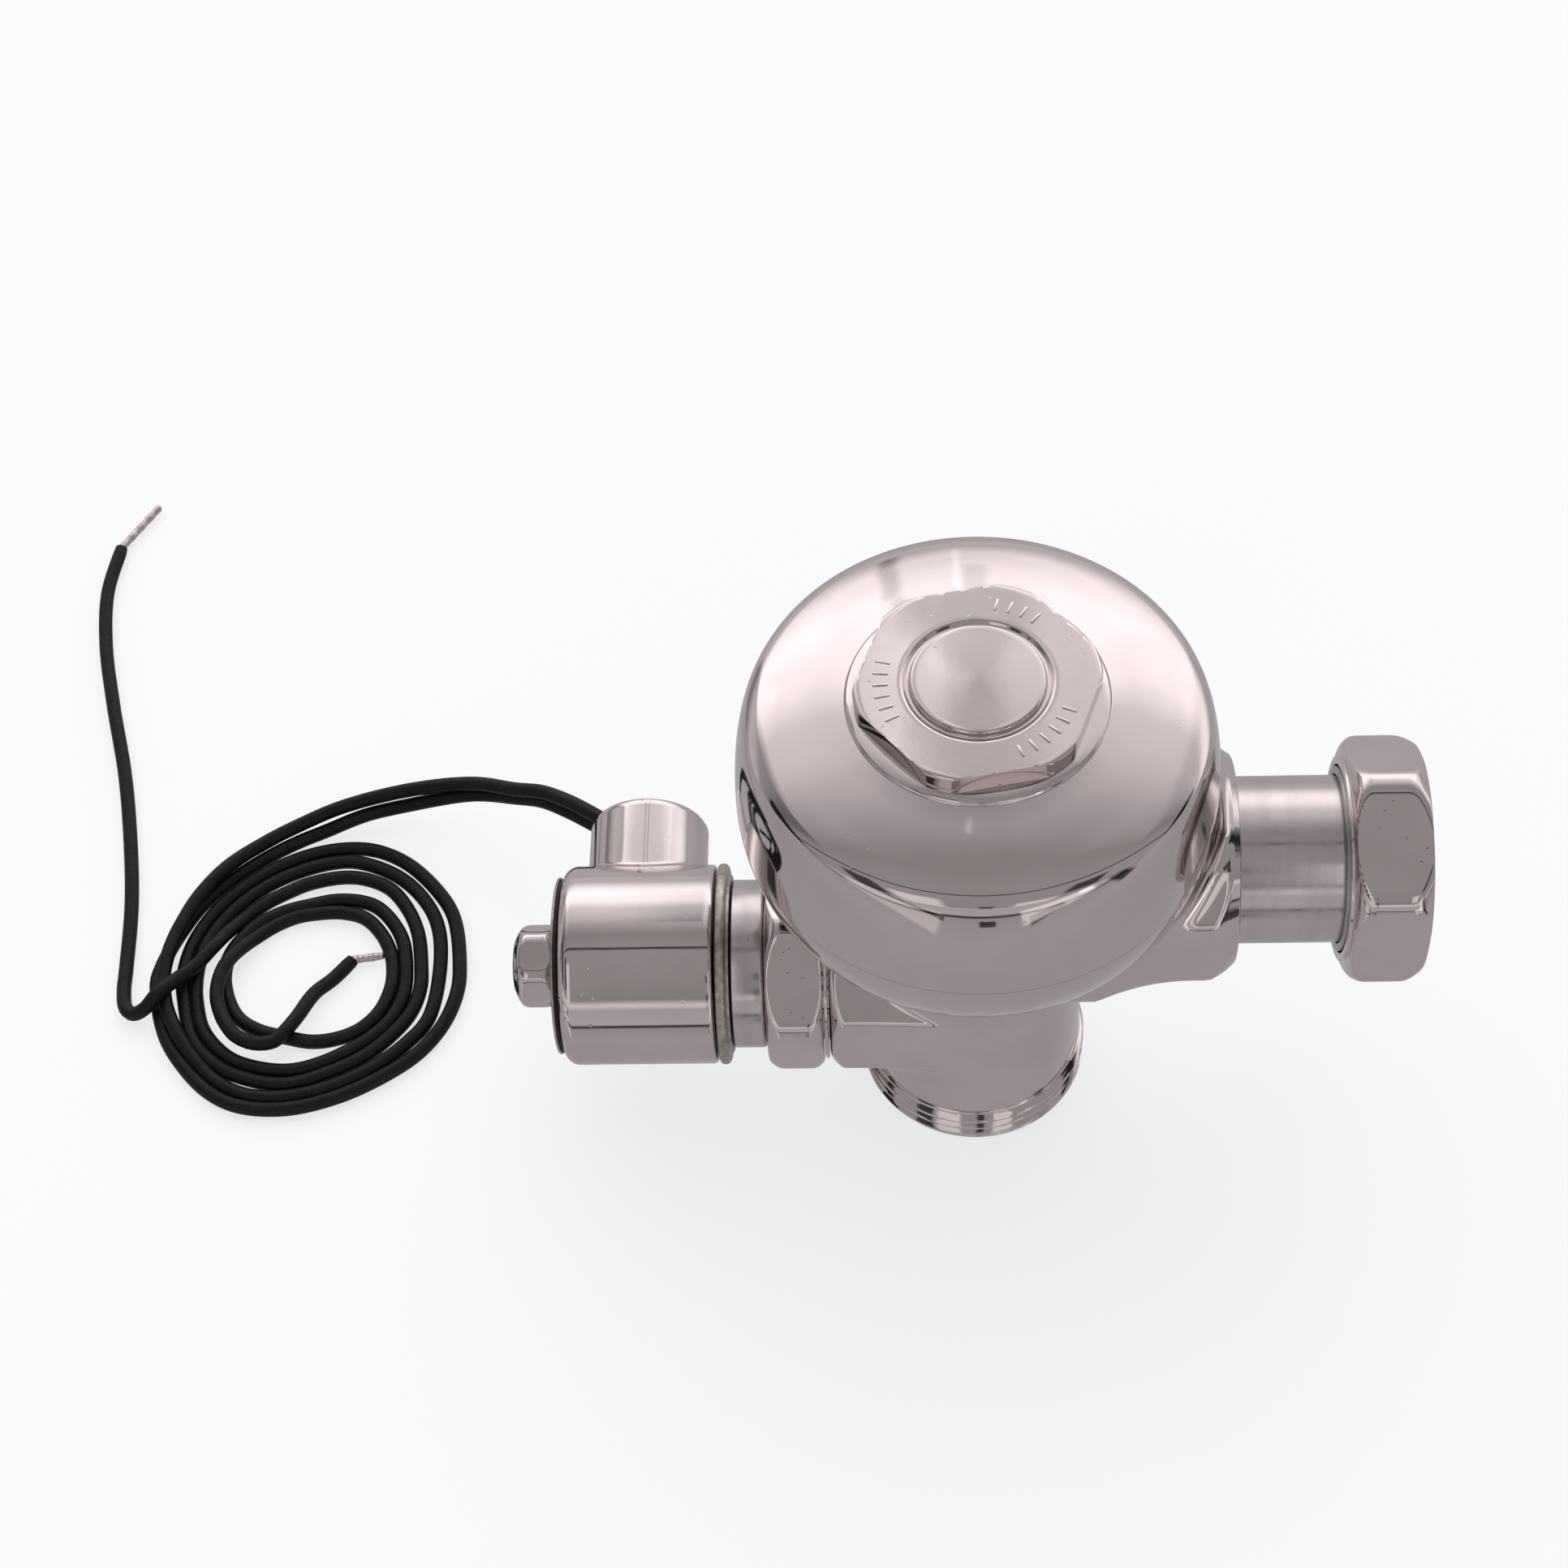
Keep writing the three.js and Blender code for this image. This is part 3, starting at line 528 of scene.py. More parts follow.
def turned(outline, axis="z", centre=(0, 0), segments=128, shape=None):
    """(vertices, faces) of an outline turned about an axis. One that starts on the axis has to end on it.
    shape(angles, radius, height) may change a ring's radius round the axis."""
    angles = 2 * math.pi * np.arange(segments) / segments
    on_axis = outline[0][0] < 1e-9
    rings = outline[1:-1] if on_axis else outline
    rows = []
    for r, h in rings:
        radius = np.full(segments, float(r)) if shape is None else shape(angles, r, h)
        rows.append(ring_points(axis, centre, radius, h, angles))
    points = np.concatenate(rows)
    faces = grid_faces(len(rings), segments, not on_axis)
    if on_axis:
        for h, ring in ((outline[0][1], 0), (outline[-1][1], len(rings) - 1)):
            pole = len(points)
            points = np.vstack([points, ring_points(axis, centre, np.zeros(1), h, np.zeros(1))])
            first = ring * segments
            loop = [(first + j, first + (j + 1) % segments) for j in range(segments)]
            faces += [(pole, a, b) if ring else (pole, b, a) for a, b in loop]
    return points, faces


def mesh_of(name, parts, sharp):
    """One mesh of closed shells, each facing outwards. Edges sharper than sharp degrees stay sharp."""
    points, faces, start = [], [], 0
    for shell_points, shell_faces in parts:
        shell = np.asarray(shell_points, float)
        volume = 0.0
        for face in shell_faces:
            for k in range(1, len(face) - 1):
                volume += np.dot(shell[face[0]], np.cross(shell[face[k]], shell[face[k + 1]]))
        for face in shell_faces:
            ordered = face if volume > 0 else face[::-1]
            faces.append([start + i for i in ordered])
        points.append(to_row(shell))
        start += len(shell)
    mesh = bpy.data.meshes.new(name)
    mesh.from_pydata(np.concatenate(points).tolist(), [], faces)
    mesh.update()
    mesh.shade_smooth()
    mesh.set_sharp_from_angle(angle=math.radians(sharp))
    return mesh


def dressed(made, node, *others):
    """Gives a piece the body, slot and material of the CAD nodes that it stands for."""
    slot = SLOT_OF[node]
    made.data.materials.clear()
    made.data.materials.append(MATERIALS[slot])
    bodies = frame["record"]["behaviour"]["bodies"]
    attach(made, next(body for body, nodes in bodies.items() if node in nodes))
    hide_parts(node, *others)
    return made


def piece(node, parts, sharp=SHARP):
    """An object of closed shells that stands for one CAD node."""
    name = node + "_skin"
    return dressed(linked(name, mesh_of(name, parts, sharp)), node)


# ---------- body ----------
# The bowl is a quarter ellipse turned about the axis. centre is the ellipse's own distance from that axis.
BOWL = {"centre": 12.0, "radius": 39.7, "height": 84.6, "depth": 30.0}
BOWL_REACH = BOWL["radius"] - BOWL["centre"]
BARREL = 19.3
SEAM = 82.75
BORE = 14.5
INLET_Z, INLET_BORE, SEAT_BORE = 61.1, 14.55, 10.5
OPERATOR_Z, OPERATOR_BORE = 30.05, 8.5
CASE_RADIUS = 17.85
COVER_TOP = 113.2
THREAD_PITCH = 2.2
TICKS = ((52, 4), (166, 6), (-66, 6))  # strokes on the cover: (first one's angle in degrees, how many)
TICK_STEP = 8.5
END_RIM = 0.35  # rounding at a stub's end
FLARE_LENGTH = 16


def bowl_radius(height):
    """Radius of the body's outside, bowl or barrel, at a height."""
    rise = np.clip((BOWL["height"] - np.asarray(height, float)) / BOWL["depth"], -1, 1)
    bowl = BOWL["centre"] + BOWL_REACH * np.sqrt(1 - rise * rise)
    above = np.asarray(height) > BOWL["height"]
    return np.where(above, BOWL["radius"], np.maximum(bowl, BARREL))


def body_distance(points):
    return np.hypot(points[..., 0], points[..., 1]) - bowl_radius(points[..., 2])


def case_distance(points):
    return np.hypot(points[..., 1], points[..., 2] - OPERATOR_Z) - CASE_RADIUS


def slope(distance, points):
    """Outward unit normals of the surface where the distance is zero."""
    step = 0.01
    moves = np.eye(3) * step
    grown = np.stack([distance(points + m) - distance(points - m) for m in moves], -1)
    return grown / np.linalg.norm(grown, axis=-1, keepdims=True)


def boss(distance, ring, face, inner, lowest, fillet, segments=288, rows=34):
    """(vertices, faces) of a stub that grows out of a surface with a fillet at its foot.
    distance is how far a point is outside that surface. ring(angles, s) gives the stub's outline s along
    its axis, lowest is an s inside the surface at every angle, and face is where the stub ends.
    inner(angles) gives the rings of its bore, from its face inwards."""
    angles = 2 * math.pi * np.arange(segments) / segments
    low, high = np.full(segments, float(lowest)), np.full(segments, float(face))
    for _ in range(40):  # closes in on the line where the stub meets the surface
        middle = (low + high) / 2
        inside = distance(ring(angles, middle)) < 0
        low, high = np.where(inside, middle, low), np.where(inside, high, middle)
    foot = ring(angles, low)
    way = ring(angles, low + 0.05) - foot
    way /= np.linalg.norm(way, axis=-1, keepdims=True)
    around = np.roll(foot, -1, axis=0) - np.roll(foot, 1, axis=0)
    axis = ring(angles, np.ones(segments)).mean(0) - ring(angles, np.zeros(segments)).mean(0)
    out = np.cross(around, axis)
    out -= (out @ axis)[:, None] * axis / (axis @ axis)
    out /= np.linalg.norm(out, axis=-1, keepdims=True)
    away = foot - foot.mean(0)
    out *= np.where((out * away).sum(-1) < 0, -1, 1)[:, None]
    normal = slope(distance, foot)
    square = np.clip((normal * way).sum(-1), 0, 1)
    tangent = out - (out * normal).sum(-1, keepdims=True) * normal
    tangent /= np.linalg.norm(tangent, axis=-1, keepdims=True)
    reach = fillet * np.clip(square * 1.6, 0.02, 1)
    start = np.minimum(low + reach, face - 1.2)
    end = foot + tangent * reach[:, None]
    for _ in range(4):
        end -= distance(end)[:, None] * slope(distance, end)
    end -= 0.04 * slope(distance, end)  # the fillet's edge lies just under the surface
    made = []
    top = ring(angles, start)
    for t in np.linspace(0, 1, 12):
        made.append((1 - t) ** 2 * end + 2 * t * (1 - t) * foot + t * t * top)
    for t in np.linspace(0, 1, rows)[1:]:
        made.append(ring(angles, start + (face - start) * t))
    made += [np.array(r) for r in inner(angles)]
    return np.concatenate(made), grid_faces(len(made), segments, True)


def x_rings(height, side, angles, outline):
    """Plain rings about an X axis at a height, from (radius, s) points. side is 1 or -1."""
    return [
        ring_points("x", (0, height), np.full(len(angles), float(r)), side * s, angles)
        for r, s in outline
    ]


def stub_along_x(height, side, apothem, blank, face, inner, fillet, flare, flare_from):
    """An eight-sided stub of the body. It is turned down to blank(s), and grows wider by flare over the
    last FLARE_LENGTH before the body."""

    def ring(angles, s):
        s = np.asarray(s, float)
        radius = smooth_min(polygon_radius(angles, 8, apothem, 22.5, 70), blank(s), 0.4)
        radius = radius + flare * (np.clip(flare_from - s, 0, FLARE_LENGTH) / FLARE_LENGTH) ** 2
        return ring_points("x", (0, height), radius, side * s, angles)

    def bore(angles):
        return x_rings(height, side, angles, inner)

    return boss(body_distance, ring, face, bore, 0, fillet)


def chamfered(corner, length, face, face_radius):
    """A blank's radius at s: its end is turned down to face_radius over a length, with a soft rim."""

    def radius(s):
        cone = face_radius + (face - s) * (corner - face_radius) / length
        drop = np.sqrt(np.clip(2 * END_RIM * (face - s), 0, END_RIM**2))
        rim = face_radius - END_RIM + drop
        return np.minimum(np.minimum(cone, corner), np.where(face - s < END_RIM / 2, rim, 1e3))

    return radius


def cut_from(made, cutters):
    """Takes (vertices, faces) solids out of a piece's mesh."""
    for cutter in cutters:
        tool = linked("tool", mesh_of("tool", [cutter], SHARP))
        modifier = made.modifiers.new("cut", "BOOLEAN")
        modifier.operation = "DIFFERENCE"
        modifier.solver = "EXACT"
        modifier.object = tool
        bpy.context.view_layer.update()
        cut = made.evaluated_get(bpy.context.evaluated_depsgraph_get())
        result = bpy.data.meshes.new_from_object(cut)
        made.modifiers.clear()
        old = made.data
        made.data = result
        bpy.data.meshes.remove(old)
        bpy.data.objects.remove(tool)


def rod(radius, low, high, height):
    """A cylinder along X, for a cutter."""
    return turned([(0, low), (radius, low), (radius, high), (0, high)], "x", (0, height), 96)


def make_body():
    """The bowl and barrel with their bores and outlet thread, and the two stubs as a mesh of their own."""
    thread_top, thread_low, crest, run_out = 9.2, 0.4, 20.35, 0.9
    wall, inner_depth = 3.5, 26.5

    def threads(angles, r, h):
        radius = np.full(len(angles), float(r))
        if r > BARREL - 0.9 and h < thread_top:
            ends = min((h - thread_low) / run_out, (thread_top - h) / run_out)
            ridge = thread_ridge(angles, h, THREAD_PITCH)
            radius = radius + (crest - BARREL) * ridge * np.clip(ends, 0, 1)
        return radius

    bowl_start = math.degrees(math.acos((BARREL + 0.9 - BOWL["centre"]) / BOWL_REACH))
    seam = math.degrees(math.asin((BOWL["height"] - SEAM) / BOWL["depth"]))
    middle = (BOWL["centre"], BOWL["height"])
    outlet = [(BORE, 0.5), (BORE, 0, 0.3), (BARREL - 0.7, 0, 0.3), (BARREL - 0.05, thread_low)]
    outline = [
        *rounded(outlet, False),
        *[(BARREL - 0.05, h) for h in np.linspace(thread_low, thread_top, 56)[1:]],
        (BARREL, thread_top + 0.6),
        *divided([(BARREL, 12), (BARREL, 54.2)], 2.5, False),
        (BARREL + 0.1, 55.0),
        (BARREL + 0.35, 55.5),
        *arc(*middle, BOWL_REACH, BOWL["depth"], -bowl_start, -seam, 70),
        (36.0, SEAM),
        (36.0, 88.9),
        (33.4, 88.9),
        (33.4, 84.0),
        *arc(*middle, BOWL_REACH - wall, inner_depth, -8, -62, 20),
        (18, 61.4),
        (16, 61.4),
        (16, 80),
        (12.6, 80),
        (12.6, 49),
        (BORE, 49),
    ]
    barrel = turned(outline, segments=256, shape=threads)
    inlet_bore = [
        (14.9, 43.4), (INLET_BORE, 43.1), (INLET_BORE, 26.7), (SEAT_BORE, 26.7), (SEAT_BORE, 15),
    ]
    inlet = stub_along_x(
        INLET_Z, 1, 19.36, chamfered(21.95, 6, 43.4, 18), 43.4, inlet_bore, 5, 3.4, 36
    )
    operator_bore = [
        (13.4, 25.7), (13.4, 33.6), (13.1, 34), (8.7, 34), (OPERATOR_BORE, 33.8), (OPERATOR_BORE, 13),
    ]
    operator = stub_along_x(
        OPERATOR_Z, -1, 17.83, chamfered(20.3, 3.3, 25.7, 17), 25.7, operator_bore, 4, 0.8, 23
    )
    made = linked("valve_body_skin", mesh_of("valve_body_skin", [barrel], SHARP))
    cutters = [
        rod(SEAT_BORE, 16.5, 60, INLET_Z),
        rod(INLET_BORE, 26.7, 60, INLET_Z),
        rod(OPERATOR_BORE, -40, -12.5, OPERATOR_Z),
    ]
    cut_from(made, cutters)
    stubs = linked("valve_body_stubs", mesh_of("valve_body_stubs", [inlet, operator], SHARP))
    dressed(made, "valve_body")
    dressed(stubs, "valve_body")


def tick(angle, height):
    """A short raised stroke on the hexagon's top, with its upper edges drawn in."""
    middle, half_long, half_wide, proud = 15.4, 1.25, 0.24, 0.16
    corners = ((-1, -1), (1, -1), (1, 1), (-1, 1))
    outline = rounded([(half_long * along, half_wide * across, 0.2) for along, across in corners])
    rows = []
    for shrink, rise in ((1, -0.15), (1, 0.05), (0.93, proud * 0.8), (0.8, proud)):
        flat = np.array([(middle + r * shrink**0.3, w * shrink, height + rise) for r, w in outline])
        x = flat[:, 0] * math.cos(angle) - flat[:, 1] * math.sin(angle)
        y = flat[:, 0] * math.sin(angle) + flat[:, 1] * math.cos(angle)
        rows.append(np.stack([x, y, flat[:, 2]], -1))
    return capped(rows)


def make_cover():
    """The outer cover with its collar, its hexagon and the raised button in the middle."""
    hex_foot, hex_top = 109.0, 112.6

    def hexagon(angles, r, h):
        radius = np.full(len(angles), float(r))
        if h < hex_foot - 0.01 or r < 12:
            return radius
        return smooth_min(radius, polygon_radius(angles, 6, 18.3, 11, 260), 0.25)

    shoulder = arc(35.9, BOWL["height"], 3.8, 19.8, 0, 73, 44)
    top = [
        shoulder[-1], (33.45, 105.0, 3.2), (27.5, 106.72, 5), (21.15, 108.05, 0.35), (21.0, 108.5, 0.3),
        (19.95, hex_foot),
    ]
    hexagon_side = [
        (19.9, hex_foot), (19.9, hex_top, 0.75), (12.1, hex_top + 0.02, 0.3),
        (11.45, hex_top - 0.5, 0.2), (10.95, hex_top - 0.45, 0.25), (10.7, COVER_TOP - 0.1, 1.3),
        (0, COVER_TOP),
    ]
    hexagon_rows = divided(rounded(hexagon_side, False, 8), 0.6, False)
    outline = [
        (0, 104.7),
        (32, 101.2),
        (36.3, 96),
        (36.3, SEAM + 0.2),
        (36.5, SEAM + 0.03),
        (39.5, SEAM + 0.03),
        (BOWL["radius"] - 0.04, SEAM + 0.1),
        (BOWL["radius"] - 0.02, 83.6),
        *shoulder,
        *rounded(top, False, 9)[1:],
        *[p for p in hexagon_rows if p[0] > 0.3],
        (0, COVER_TOP),
    ]
    shells = [turned(outline, segments=288, shape=hexagon)]
    for first, count in TICKS:
        shells += [tick(math.radians(first + TICK_STEP * k), hex_top) for k in range(count)]
    piece("outer_cover", shells, 50)


make_body()
make_cover()


# ---------- inlet side ----------
def hex_shape(apothem, turn, least, sharpness, reach):
    """A shape for turned() that gives a nut its flats: rings wider than least follow a hexagon."""

    def shape(angles, r, h):
        radius = np.full(len(angles), float(r))
        if r < least:
            return radius
        return smooth_min(radius, polygon_radius(angles, 6, apothem, turn, sharpness), reach)

    return shape


def ring_piece(node, outline, height, segments=160):
    """A piece turned about an X axis at a height, with the rounded outline given."""
    piece(node, [turned(rounded(outline), "x", (0, height), segments)])


def make_coupling_nut():
    """The nut on the inlet tail, with a domed back, six flats and a thread inside."""
    nut = hex_shape(18.9, -93.9, 17.7, 120, 0.6)
    groove = 17.3

    def shape(angles, r, h):
        radius = nut(angles, r, h)
        if abs(r - groove) < 0.01:
            radius = radius - 0.5 * thread_ridge(angles, h, THREAD_PITCH)
        return radius

    outline = [
        (16.1, 61.4, 0.2),
        (17.5, 61.4, 0.3),
        (17.55, 62.0, 0.15),
        *[(r, h, 0.01) for r, h in arc(17.9, 65.4, 3.2, 3.3, -88, 0, 16)],
        (21.1, 72.3, 1.4),
        (19.3, 74.8, 0.5),
        (17.6, 74.8, 0.3),
        (groove, 74.4),
        (groove, 65.9),
        (16.1, 65.8, 0.1),
    ]
    rows = divided(rounded(outline), 0.35)
    piece("coupling_nut", [turned(rows, "x", (0, INLET_Z), 360, shape)], 50)


ring_piece(
    "tailpiece",
    [
        (12, 27, 0.3), (14.25, 27, 0.3), (14.25, 66.9, 0.1), (13.35, 66.9), (13.35, 68.7),
        (14.25, 68.7, 0.1), (14.25, 69.9, 0.1), (13.35, 69.9), (13.35, 72.1), (14.25, 72.1, 0.1),
        (14.25, 73, 0.35), (12, 73, 0.35),
    ],
    INLET_Z, 192,
)
ring_piece(
    "slip_washer",
    [
        (14.45, 61.0, 0.15), (15.75, 61.0, 0.3), (15.75, 66.1, 0.1), (16.4, 66.1, 0.15),
        (16.4, 66.9, 0.15), (14.45, 66.9, 0.15),
    ],
    INLET_Z, 144,
)
make_coupling_nut()


# ---------- operator ----------
def make_coil_case():
    """A cup with rounded corners at the end plate, and the round nozzle that the leads leave by."""
    corner = arc(15.25, -70.8, 2.6, 2.6, -84, 0, 14)
    outline = [
        (5.9, -73.4), (15.25, -73.4, 0.4), *[(r, h, 0.01) for r, h in corner],
        (CASE_RADIUS, -46.5, 0.5), (17.45, -45.95, 0.3), (16.05, -45.95, 0.2), (16.05, -72, 0.3),
        (5.9, -72),
    ]
    case = turned(divided(rounded(outline), 1.5), "x", (0, OPERATOR_Z), 224)
    nozzle_x, nozzle_radius, mouth = -59.3, 10.9, 29.2

    def ring(angles, s):
        past = np.clip(np.asarray(s, float) - mouth + END_RIM, 0, END_RIM)
        radius = nozzle_radius - END_RIM + np.sqrt(np.clip(END_RIM**2 - past**2, 0, None))
        return ring_points("y", (nozzle_x, OPERATOR_Z), radius, np.asarray(s, float), angles)

    def inner(angles):
        bore = [(9.0, mouth), (8.7, mouth - 0.3), (8.7, 15.0)]
        centre = (nozzle_x, OPERATOR_Z)
        return [ring_points("y", centre, np.full(len(angles), r), h, angles) for r, h in bore]

    nozzle = boss(case_distance, ring, mouth, inner, 8, 0.9, 224, 20)
    piece("coil_case", [case, nozzle])


def operator_nut_piece(node, rows, segments, shape):
    """A hexagonal nut on the operator's axis."""
    piece(node, [turned(rows, "x", (0, OPERATOR_Z), segments, shape)], 50)


make_coil_case()
ring_piece(
    "operator_washer",
    [(13.8, -26.6, 0.1), (17.1, -26.6, 0.2), (17.1, -26.0, 0.2), (13.8, -26.0, 0.1)],
    OPERATOR_Z,
)
OPERATOR_NUT = [
    (12.1, -36.8, 0.2), (17.5, -36.8, 0.5), (19.25, -35.1, 1.0), (19.25, -28.5, 1.0),
    (17.5, -26.85, 0.5), (13.75, -26.85, 0.2), (13.75, -35.1), (12.1, -35.2),
]
operator_nut_piece(
    "operator_nut",
    divided(rounded(OPERATOR_NUT), 0.35),
    336,
    hex_shape(17.4, 13.5 - 90, 16.5, 110, 0.5),
)
ring_piece(
    "operator_sleeve",
    [
        (7, -42.9, 0.2), (15.05, -42.9, 0.3), (15.05, -37.5, 0.3), (14.6, -37.1, 0.2), (11.7, -37.1),
        (11.7, -34.3, 0.2), (7, -34.3, 0.2),
    ],
    OPERATOR_Z,
)
ring_piece(
    "base_washer",
    [
        (5.9, -45.6), (17.5, -45.6, 0.5), (18.0, -45.2, 0.3), (18.0, -44.2, 0.5), (17.5, -43.7, 0.5),
        (15.9, -43.7, 0.1), (15.9, -43.2, 0.2), (5.9, -43.2),
    ],
    OPERATOR_Z,
)
ring_piece(
    "end_gasket",
    [(5.9, -73.95), (15.55, -73.95, 0.1), (15.55, -73.5, 0.1), (5.9, -73.5)],
    OPERATOR_Z,
)
ring_piece(
    "end_plate",
    [(3.6, -74.5, 0.1), (15.87, -74.5, 0.25), (15.87, -74.0, 0.2), (3.6, -74.0, 0.1)],
    OPERATOR_Z,
)
END_NUT = [
    (0, -82.6), (4.6, -82.6, 1.2), (7.65, -80.9, 1.4), (7.65, -76.3, 0.9), (6.7, -74.8, 0.5),
    (3.4, -74.8, 0.1), (3.4, -79.4, 0.2), (0, -79.4),
]
operator_nut_piece(
    "end_nut",
    divided(rounded(END_NUT, False), 0.25, False),
    240,
    hex_shape(6.95, -13 - 90, 6.0, 60, 0.4),
)


# ---------- soft pieces inside ----------
def make_diaphragm():
    """A ring of rubber: its rim, and the part inside its step."""
    rim_top, step_foot = 86.75, 87.15
    outline = [
        (13.4, 87.2, 0.2), (27.2, 87.2, 0.4), (28.2, 85.0, 0.5), (33, 85, 0.3), (33, 86.7, 0.3),
        (28.7, 86.7, 0.4), (27.6, 88.8, 0.5), (13.4, 88.8, 0.2),
    ]
    rows = divided(rounded(outline), 0.4)
    made = linked("diaphragm_skin", mesh_of("diaphragm_skin", [turned(rows, segments=128)], 60))
    made.data.materials.append(MATERIALS["blue_rubber"])
    start, end = ((AXIS_X, 0, height * MM) for height in (rim_top, step_foot))
    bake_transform(made)
    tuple(start)
    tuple(end)
    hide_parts("diaphragm")


def make_spring():
    """A coil spring round the push rod."""
    start, end, coil_radius, wire, coils = -44.6, -37.7, 3.35, 0.42, 5
    axis = np.array((1, 0, 0))
    sides = 2 * math.pi * np.arange(12) / 12
    rows = []
    for t in np.linspace(0, 1, coils * 36 + 1):
        turn = 2 * math.pi * coils * t
        out = np.array((0, math.cos(turn), math.sin(turn)))
        along = start + wire + (end - start - 2 * wire) * t
        middle = np.array((along, 0, OPERATOR_Z)) + coil_radius * out
        rows.append(middle + wire * (np.cos(sides)[:, None] * axis + np.sin(sides)[:, None] * out))
    made = piece("return_spring", [capped(rows)], 60)
    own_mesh(made)


make_diaphragm()
make_spring()


# ---------- leads as shown ----------
def strand_end(name, start, end):
    """Tinned strands: seven lobes that twist along their length, with a rounded tip of solder."""
    target, length = end
    tucked, tip, strand, lobe = 1.2, 0.75, 0.72, 0.055
    start = np.array(start, float)
    way = np.array(target, float) - start
    way /= np.linalg.norm(way)
    side = np.cross(way, (0, 0, 1))
    side /= np.linalg.norm(side)
    up = np.cross(side, way)
    angles = 2 * math.pi * np.arange(56) / 56
    straight = np.linspace(-tucked, length - tip, 40)
    domed = length - tip + tip * np.sin(np.linspace(0.1, 1.5, 10))
    rows = []
    for s in np.concatenate([straight, domed]):
        cap = math.sqrt(max(0.0, 1 - max(0.0, (s - length + tip) / tip) ** 2))
        lobes = lobe * np.abs(np.cos(3.5 * (angles + 0.9 * s))) * min(1.0, (length - s) / 2)
        radius = (strand + 0.05 * math.sin(2.1 * s)) * cap + lobes * cap
        around = np.cos(angles)[:, None] * side + np.sin(angles)[:, None] * up
        rows.append(start + way * s + radius[:, None] * around)
    return piece(name, [capped(rows)], 60)


def make_lead(letter, run, turns, tail, end, *nodes):
    """One lead as a curve with its strands. nodes are the CAD pieces it stands for besides its run."""
    made, line = lead_curve(f"lead_{letter}", [*run, *coil_points(turns), *tail])
    dressed(made, f"lead_{letter}_run", *nodes)
    tip = strand_end(f"lead_{letter}_end", tail[-1], end)
    tuple(to_row(run[0]))
    length_of(line) * MM
    print("lead", letter, round(length_of(line), 1), "mm")


make_lead("a", RUN_A, TURNS_A, TAIL_A, END_A, "lead_a_tail", "lead_coil")
make_lead("b", RUN_B, TURNS_B, TAIL_B, END_B, "lead_b_tail")

# ---------- CAD pieces that show as they are ----------
for node, shown in frame["nodes"].items():
    if not shown.hide_render:
        shown.data.materials.clear()
        shown.data.materials.append(MATERIALS[SLOT_OF[node]])


# ---------- floor and light ----------
FLOOR_HALF, FLOOR_DROP = 4, 0.0002  # metres
FLOOR_SHADE, FLOOR_GLOW = 0.27, 0.72
SKY_TINT = (1, 0.975, 0.985)
LIGHT_PLACE, LIGHT_ENERGY = Vector((-0.2, 0.5, 1.6)), 12


def make_floor():
    """A pale floor, part lit and part glowing, that the shiny parts don't reflect."""
    mesh = bpy.data.meshes.new("floor")
    corners = ((-1, -1), (1, -1), (1, 1), (-1, 1))
    mesh.from_pydata([(FLOOR_HALF * x, FLOOR_HALF * y, 0) for x, y in corners], [], [(0, 1, 2, 3)])
    floor = linked("floor", mesh)
    floor.location.z = -FLOOR_DROP
    pale = new_material("pale_floor", (FLOOR_SHADE,) * 3, 0, 0.9)
    shader = pale.node_tree.nodes["Principled BSDF"]
    shader.inputs["Specular IOR Level"].default_value = 0
    shader.inputs["Emission Color"].default_value = (1, 1, 1, 1)
    shader.inputs["Emission Strength"].default_value = FLOOR_GLOW
    mesh.materials.append(pale)
    floor.visible_glossy = False
    floor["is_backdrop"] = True


class Sky:
    """Builds the studio's surroundings from math nodes on the direction looked in."""

    def __init__(self, tree):
        self.nodes, self.links = tree.nodes, tree.links

    def math(self, operation, a, b):
        node = self.nodes.new("ShaderNodeMath")
        node.operation = operation
        for socket, value in zip(node.inputs, (a, b)):
            if isinstance(value, (int, float)):
                socket.default_value = value
            else:
                self.links.new(value, socket)
        return node.outputs[0]

    def step(self, value, low, high, low_to=0.0, high_to=1.0):
        """The value taken smoothly from low_to at low to high_to at high."""
        node = self.nodes.new("ShaderNodeMapRange")
        node.interpolation_type = "SMOOTHSTEP"
        node.inputs["From Min"].default_value = low
        node.inputs["From Max"].default_value = high
        node.inputs["To Min"].default_value = low_to
        node.inputs["To Max"].default_value = high_to
        self.links.new(value, node.inputs["Value"])
        return node.outputs[0]

    def window(self, value, low, high, soft):
        """1 between low and high, and 0 outside, with soft edges."""
        rise = self.step(value, low - soft, low + soft)
        fall = self.step(value, high - soft, high + soft, 1.0, 0.0)
        return self.math("MULTIPLY", rise, fall)

    def patch(self, pitch, side, box, soft):
        """1 in a box of (lowest pitch, highest pitch, lowest side, highest side), and 0 outside."""
        across = self.window(pitch, box[0], box[1], soft * 60)
        return self.math("MULTIPLY", across, self.window(side, box[2], box[3], soft))


# Brightness by pitch, in degrees from the front horizon, over the top at 90 and down to the back at 180. A
# direction's side is its X, from -1 at the left to 1 at the right.
SKY = [
    (-180, 0.6), (-150, 0.5), (-90, 0.44), (-40, 0.5), (-21, 0.44),
    (-19, 0.03), (-17, 0.03), (-16, 0.6), (4, 0.55), (10, 0.95), (14, 0.6),
    (16, 0.36), (40, 0.4), (75, 0.42), (76.2, 0.03), (77.6, 0.03), (78.6, 0.42),
    (94, 0.36), (106, 0.58), (118, 0.9), (127, 1.0), (137, 1.6), (150, 1.8),
    (159, 1.45), (170, 0.7),
]
